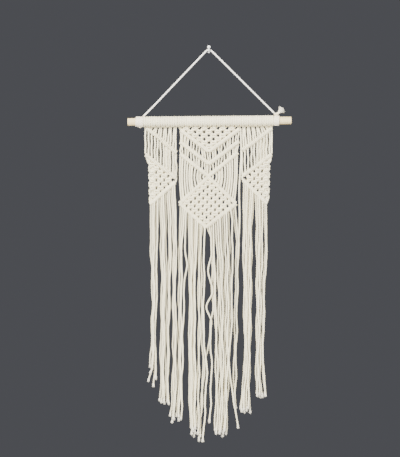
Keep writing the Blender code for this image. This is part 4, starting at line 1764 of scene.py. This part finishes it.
FRINGE_LEVELS = (-400.0, -511.0, -592.0, -680.0)
LEFT_FRINGE = (
    Bundle("outer", 5, (-126, -109), (-122, -111), (-123, -113), (-127, -113), (-133.5, -112), (-669, -716)),
    Bundle(
        "middle", 4, (-104, -90), (-102.5, -89.5), (-104, -91), (-104.5, -91.5), (-105, -92), (-740, -748),
    ),
    Bundle(
        "joining", 2, (-86.5, -79.5), (-88, -82.5), (-90, -84.5), (-90.5, -85.5), (-91, -86), (-742, -747),
    ),
    Bundle("inner", 3, (-77.5, -68.5), (-77.5, -70.5), (-77.5, -69.5), (-78, -69), (-83, -72), (-771, -797)),
)
CENTRE_LEFT_FRINGE = (
    Bundle("corner", 3, (-64.5, -56.5), (-65.5, -57.5), (-66.5, -58), (-66.5, -59), (-69, -62), (-771, -788)),
    Bundle("wanderer", 1, (-50, -50), (-52.5, -52.5), (-55.5, -55.5), (-57, -57), (-59, -59), (-780, -780)),
    Bundle("left", 6, (-43.5, -26), (-42.5, -29), (-42.5, -29), (-43.5, -28), (-40, -28), (-797, -818)),
    Bundle("pair", 2, (-22, -18), (-23.5, -19.5), (-22.5, -18.5), (-24.5, -20.5), (-26, -21), (-793, -822)),
    Bundle("apex_left", 1, (-17, -17), (-15.5, -15.5), (-15, -15), (-12.5, -12.5), (-18, -18), (-818, -818)),
    Bundle("single", 1, (-10.2, -10.2), (-10.7, -10.7), (-11.7, -11.7), (-5, -5), (-12, -12), (-826, -826)),
)
CENTRE_RIGHT_FRINGE = (
    Bundle("crossing", 1, (6.6, 6.6), (6.6, 6.6), (3, 3), (-10, -10), (-21, -21), (-824, -824)),
    Bundle("looped", 1, (4.4, 4.4), (7.7, 7.7), (3.6, 3.6), (5.5, 5.5), (2, 2), (-784, -784)),
    Bundle("inner", 2, (7.5, 11.5), (10, 15), (13, 17), (14, 20), (12, 19), (-805, -814)),
    Bundle("broad", 7, (15.8, 46.5), (18.5, 46.5), (20, 46), (22.5, 43.5), (19, 38.5), (-801, -818)),
    Bundle("swinging", 1, (50, 50), (49, 49), (47.5, 47.5), (43.5, 43.5), (62, 62), (-796, -796)),
    Bundle("outer", 2, (58, 65), (54.5, 62.5), (53, 61), (52, 59), (53, 57.5), (-741, -763)),
)
RIGHT_FRINGE = (
    Bundle("inner", 7, (72.5, 92.5), (74, 91.5), (75, 90), (75, 87.5), (65.5, 88.5), (-756, -767)),
    Bundle(
        "middle", 5, (100.5, 115.5), (101.5, 112), (101.5, 111), (100.5, 110), (100.5, 114.5), (-724, -735),
    ),
    Bundle("outer", 2, (119.5, 124.5), (115.5, 119.5), (113.5, 117.5), (113, 117), (118, 122), (-728, -733)),
)
SWINGS = (
    Swing("looped", -470.0, 42.0, -8.0),
    Swing("looped", -542.0, 34.0, -10.5),
    Swing("wanderer", -455.0, 34.0, 3.5),
    Swing("crossing", -545.0, 40.0, 2.5),
)
# Layer of each strand that hangs by itself, counted from the back
SINGLE_LAYERS = {"single": 2, "apex_left": 0, "crossing": 0, "looped": 1, "swinging": 2, "wanderer": 2}


def between_levels(levels: tuple, values: list[float], z: float) -> float:
    """Smooth value at a height.

    Args:
        levels: Heights, from the top down.
        values: The value at each.
        z: The height asked for.

    Returns:
        The value there.
    """
    if z >= levels[0]:
        return values[0]
    for place in range(len(levels) - 1):
        if z >= levels[place + 1]:
            break
    span = levels[place] - levels[place + 1]
    t = (levels[place] - z) / span
    before = values[max(place - 1, 0)]
    after = values[min(place + 2, len(values) - 1)]
    start, end = values[place], values[place + 1]
    slope_start = (end - before) / 2
    slope_end = (after - start) / 2
    return (
        start * (2 * t**3 - 3 * t**2 + 1)
        + end * (3 * t**2 - 2 * t**3)
        + slope_start * (t**3 - 2 * t**2 + t)
        + slope_end * (t**3 - t**2)
    )


@dataclass
class Fringe:
    """A bar of half hitches with free cords that end frayed."""

    name: str
    bars: list
    groups: list
    rng: np.random.Generator
    layers: int = 3
    layer_pitch: float = 4.6
    root_pitch: float = 2.6
    root_fall: float = 24.0
    root_settle: float = 0.25
    # Between the root and the free part: share of the root's fall and of its settling, and the layers' pitch
    neck_fall: float = 0.45
    neck_settle: float = 0.4
    neck_pitch: float = 3.6
    settle_fall: float = 70.0
    step_fall: float = 6.5
    end_stagger: float = 0.618
    wave: float = 0.9
    low_wave: float = 0.6
    kink: float = 0.1
    strand_radius: float = 1.8
    single_quickness: float = 0.35  # share of the falls that a strand by itself takes
    side_shares: Point2 = (0.2, 0.9)  # of the short and the long wave, sideways
    depth_shares: Point2 = (0.3, 0.7)
    # Shortest and longest length of each wave: two sideways, two in depth, and the two kinks
    wave_lengths: tuple = ((34, 75, 30, 65, 19, 19), (52, 150, 48, 120, 27, 27))
    wave_growth: float = 60.0
    end_lengths: Point2 = (7.0, 12.0)
    end_spreads: Point2 = (0.7, 1.9)
    end_root: float = 3.0
    end_fibres: int = 44
    # Painted shade: back layers darker, as if shaded by the cords in front, with random spread in each range
    painted_layer_shades_and_tones: tuple = ((0.74, 0.9), (0.86, 1.0), (0.96, 1.06))  # the layers from the back to the front

    def layer_of(self, bundle: Bundle, place: int) -> int:
        """Layer of one cord of a bundle, counted from 0 at the back."""
        return SINGLE_LAYERS.get(bundle.name, place % self.layers)

    def strand(self, bundle: Bundle, place: int, root: Vector) -> list[Point3]:
        """Middle line of one free cord.

        Args:
            bundle: The bundle that it hangs in.
            place: Its number in the bundle, from the left.
            root: Where it leaves the bar.

        Returns:
            Its points, from the root down.
        """
        share = (place + 0.5) / bundle.strands
        levels = (
            bundle.first_level,
            bundle.second_level,
            bundle.third_level,
            bundle.fourth_level,
            bundle.ends,
        )
        across = [left + (right - left) * share for left, right in levels]
        highest, lowest = bundle.end_heights
        end_z = highest + (lowest - highest) * (place * self.end_stagger % 1)
        heights = (*FRINGE_LEVELS, end_z)
        layer = (self.layers - 1) / 2 - self.layer_of(bundle, place)
        layer_y = PANEL_Y + layer * self.layer_pitch
        quick = self.single_quickness if bundle.strands == 1 else 1.0
        free_start = root.z - self.root_fall * quick
        settle_fall = self.settle_fall * quick
        points = [
            (root.x, PANEL_Y + layer * self.root_pitch, root.z),
            (
                root.x + (across[0] - root.x) * self.root_settle * self.neck_settle,
                PANEL_Y + layer * self.neck_pitch,
                root.z - self.neck_fall * self.root_fall * quick,
            ),
        ]
        steps = max(4, round((free_start - end_z) / self.step_fall))
        phases = self.rng.uniform(0, 2 * math.pi, 6)
        lengths = self.rng.uniform(*self.wave_lengths)
        for step in range(steps + 1):
            z = free_start + (end_z - free_start) * step / steps
            x = between_levels(heights, across, z) + self.sideways(bundle.name, z)
            settled = min(1.0, self.root_settle + (free_start - z) / settle_fall)
            x = root.x + (x - root.x) * settled
            grown = min(1.0, (free_start - z) / self.wave_growth) * self.wave
            grown *= 1 + self.low_wave * step / steps
            curve = np.sin(phases + 2 * math.pi * (free_start - z) / lengths)
            x += grown * (curve[0:2] @ self.side_shares + self.kink * curve[4])
            y = layer_y + grown * (curve[2:4] @ self.depth_shares + self.kink * curve[5])
            points.append((x, min(y, -BACK_CLEAR - self.strand_radius), z))
        return points

    def sideways(self, name: str, z: float) -> float:
        """Swing of a single strand at a height.

        Args:
            name: Its bundle.
            z: The height.

        Returns:
            How far it swings to the right.
        """
        total = 0.0
        for swing in SWINGS:
            if swing.name == name and abs(z - swing.middle) < swing.half_height:
                phase = math.pi * (z - swing.middle) / swing.half_height
                total += swing.to_right * 0.5 * (1 + math.cos(phase))
        return total

    def build(self, cotton: bpy.types.Material, frayed: bpy.types.Material) -> None:
        """Make the bar, the free cords and their frayed ends.

        Args:
            cotton: Finish of the cords.
            frayed: Finish of their ends.
        """
        bars = StrandMesh(Yarn())
        for bar in self.bars:
            bar.lay(bars, self.rng)
        bars.make(f"{self.name}_bar", cotton, "cotton", self.name)

        strands = StrandMesh(Yarn())
        tufts = FibreMesh(self.rng)
        for bundles, bar in self.groups:
            order = range(bar.cords) if bar.axis[0][0] < bar.axis[-1][0] else range(bar.cords - 1, -1, -1)
            roots = [bar.station(cord) for cord in order]
            for bundle in bundles:
                for place in range(bundle.strands):
                    line = self.strand(bundle, place, roots.pop(0))
                    # Painted shade by layer, with a random spread
                    tone_and_painted_shade = self.rng.uniform(*self.painted_layer_shades_and_tones[self.layer_of(bundle, place)])
                    middle = strands.lay(line, tone_and_painted_shade, self.strand_radius)
                    self.fray(tufts, middle[-1], middle[-1] - middle[-4])
        strands.make(f"{self.name}_strands", cotton, "cotton", self.name)
        tufts.make(f"{self.name}_ends", frayed, "cotton", self.name)

    def fray(self, tufts: FibreMesh, end: np.ndarray, way: np.ndarray) -> None:
        """Frayed end of one cord.

        Args:
            tufts: The mesh that takes it.
            end: Where the cord ends.
            way: Direction of its end.
        """
        length = self.rng.uniform(*self.end_lengths)
        spread = self.rng.uniform(*self.end_spreads)
        start = tuple(end - way / np.linalg.norm(way) * self.end_root)
        tufts.fray(start, tuple(way), length, spread, self.end_fibres, root=1.6, thickness=0.55)


# --- Studio -----------------------------------------------------------------------------------------------


@dataclass(frozen=True)
class Lamp:
    """Soft light: where it stands and its side in metres, its power in watts, and its colour."""

    name: str
    place: Point3
    size: float
    power: float
    colour: Point3


@dataclass
class Studio:
    """Camera, lights, floor and background, in metres."""

    lamps: tuple = (
        Lamp("key", (-1.1, -2.3, 1.2), 1.0, 285.0, (1.0, 0.98, 0.93)),
        Lamp("fill", (1.6, -2.2, -0.1), 1.6, 68.0, (1.0, 0.985, 0.96)),
        Lamp("low", (-0.2, -1.9, -1.2), 1.2, 31.0, (1.0, 0.985, 0.95)),
        Lamp("back", (0.6, 1.8, 0.5), 1.4, 30.0, (0.97, 0.98, 1.0)),
    )
    camera_at: Point3 = (-0.019, -2.310, -0.3786)
    lens: float = 85.0
    sensor: float = 36.0
    background: tuple = (0.078, 0.080, 0.090, 1.0)
    floor_height: float = -1.35
    floor_half: float = 1.6
    aim: Point3 = (0.0, 0.0, -0.4)

    def place_camera(self) -> None:
        """Level camera in front of the middle of the hanging."""
        data = bpy.data.cameras.new("camera")
        data.lens = self.lens
        data.sensor_fit = "VERTICAL"
        data.sensor_height = self.sensor
        camera = bpy.data.objects.new("camera", data)
        camera.location = self.camera_at
        camera.rotation_euler = (math.radians(90), 0, 0)
        bpy.context.scene.collection.objects.link(camera)
        bpy.context.scene.camera = camera

    def add_light(self, lamp: Lamp) -> None:
        """Soft square light that faces the hanging.

        Args:
            lamp: The light.
        """
        data = bpy.data.lights.new(lamp.name, "AREA")
        data.shape = "SQUARE"
        data.size = lamp.size
        data.energy = lamp.power
        data.color = lamp.colour
        light = bpy.data.objects.new(lamp.name, data)
        light.location = lamp.place
        way = Vector(self.aim) - Vector(lamp.place)
        light.rotation_euler = way.to_track_quat("-Z", "Y").to_euler()
        bpy.context.scene.collection.objects.link(light)

    def build(self) -> None:
        """Floor, background and lights."""
        world = bpy.data.worlds.new("backdrop")
        world.use_nodes = True
        world.node_tree.nodes["Background"].inputs["Color"].default_value = self.background
        bpy.context.scene.world = world

        half, height = self.floor_half, self.floor_height
        mesh = bpy.data.meshes.new("floor")
        corners = [(-half, -half, height), (half, -half, height), (half, half, height), (-half, half, height)]
        mesh.from_pydata(corners, [], [(0, 1, 2, 3)])
        mesh.materials.append(FloorFinish().material())
        floor = bpy.data.objects.new("floor", mesh)
        bpy.context.scene.collection.objects.link(floor)

        for lamp in self.lamps:
            self.add_light(lamp)
        log.info("studio: floor at %.2f m, %d lights", self.floor_height, len(self.lamps))


# --- The hanging ------------------------------------------------------------------------------------------


@dataclass
class Hanging:
    """Everything that hangs from the hook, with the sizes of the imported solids."""

    dowel: Dowel = field(default_factory=Dowel)
    diamond: dict = field(
        default_factory=lambda: {
            "top": (-1.1, -265.8),
            "left": (-62.2, -322.0),
            "right": (57.8, -322.2),
            "bottom": (-6.4, -372.8),
        }
    )

    def left_panel(self) -> SidePanel:
        """Left panel.

        Returns:
            The panel.
        """
        knots = {(i, j) for i, j in diamond_of(5) if j <= i}
        return SidePanel(
            Side.LEFT,
            Heading(self.dowel, (-139.1, -67.0), 7),
            HitchBar(((-133.5, -161.5), (-106.1, -181.6), (-87.3, -199.1), (-69.0, -214.0)), 12),
            HitchBar(((-135.3, -217.9), (-96.5, -248.0), (-71.0, -267.2)), 13),
            HitchBar(((-72.0, -276.6), (-126.0, -323.6)), 14),
            (-128.8, -70.2),
            KnotNet((-121.0, -239.9), (8.5, -8.1), (-8.1, -8.4), knots),
            np.random.default_rng(11),
        )

    def right_panel(self) -> SidePanel:
        """Right panel.

        Returns:
            The panel.
        """
        knots = {(i, j) for i, j in diamond_of(5) if i <= j}
        return SidePanel(
            Side.RIGHT,
            Heading(self.dowel, (69.8, 137.2), 7),
            HitchBar(((134.5, -161.0), (115.9, -175.6), (94.7, -192.0), (71.4, -208.0)), 12),
            HitchBar(((134.0, -217.0), (98.0, -244.6), (72.4, -262.6)), 13),
            HitchBar(((73.0, -272.2), (123.8, -322.0)), 14),
            (129.8, 70.6),
            KnotNet((122.3, -237.3), (8.1, -8.4), (-8.5, -8.0), knots),
            np.random.default_rng(12),
        )

    def centre_panel(self) -> CentrePanel:
        """Centre panel.

        Returns:
            The panel.
        """
        triangle = {(i, j) for i, j in diamond_of(6) if i + j >= 5}
        v_axes = (
            ((-61.0, -165.6), (0.0, -211.1), (64.6, -163.8)),
            ((-61.2, -190.8), (0.0, -237.7), (63.9, -189.4)),
            ((-61.7, -216.0), (-1.1, -263.8), (61.4, -213.8)),
        )
        top = self.diamond["top"]
        return CentrePanel(
            Heading(self.dowel, (-66.6, 69.4), 14),
            [HitchBar(axis, CORDS_IN_CENTRE_PANEL) for axis in v_axes],
            [
                HitchBar((self.diamond["left"], top), CORDS_IN_CENTRE_PANEL // 2),
                HitchBar((top, self.diamond["right"]), CORDS_IN_CENTRE_PANEL // 2),
            ],
            KnotNet((-1.4, -123.4), (10.0, -7.7), (-9.6, -7.7), triangle),
            KnotNet((-1.9, -279.0), (8.3, -8.1), (-9.0, -8.1), diamond_of(6)),
            ((-62.3, -2.4), (2.4, 63.6)),
            self.diamond,
            np.random.default_rng(13),
        )

    def fringes(self, left: SidePanel, right: SidePanel) -> list[Fringe]:
        """The three fringes.

        Args:
            left: The left panel, whose lowest bar carries its fringe.
            right: The right panel, likewise.

        Returns:
            Left, right and centre fringe.
        """
        half = CORDS_IN_CENTRE_PANEL // 2
        down = HitchBar((self.diamond["left"], self.diamond["bottom"]), half)
        up = HitchBar((self.diamond["bottom"], self.diamond["right"]), half)
        return [
            Fringe("left_fringe", [left.lower], [(LEFT_FRINGE, left.lower)], np.random.default_rng(21)),
            Fringe("right_fringe", [right.lower], [(RIGHT_FRINGE, right.lower)], np.random.default_rng(22)),
            Fringe(
                "centre_fringe",
                [down, up],
                [(CENTRE_LEFT_FRINGE, down), (CENTRE_RIGHT_FRINGE, up)],
                np.random.default_rng(23),
            ),
        ]


def main() -> None:
    """Build the camera, the free cord, the rod and hook, the panels and the fringes, and the studio."""
    logging.basicConfig(level=logging.INFO, format="%(message)s")
    cotton = COTTON.material()
    frayed = FRAYED.material()

    studio = Studio()
    studio.place_camera()
    whole = Hanging()
    hanger = Hanger(whole.dowel)
    hanger.build_cord(HANGER_COTTON.material())
    hanger.build_ends(WOUND_COTTON.material(), frayed, np.random.default_rng(5))
    whole.dowel.dress()
    WallHook().build()

    left, centre, right = whole.left_panel(), whole.centre_panel(), whole.right_panel()
    for panel in (left, centre, right):
        panel.build(cotton)
    for fringe in whole.fringes(left, right):
        fringe.build(cotton, frayed)
    studio.build()


if __name__ == "__main__":
    main()
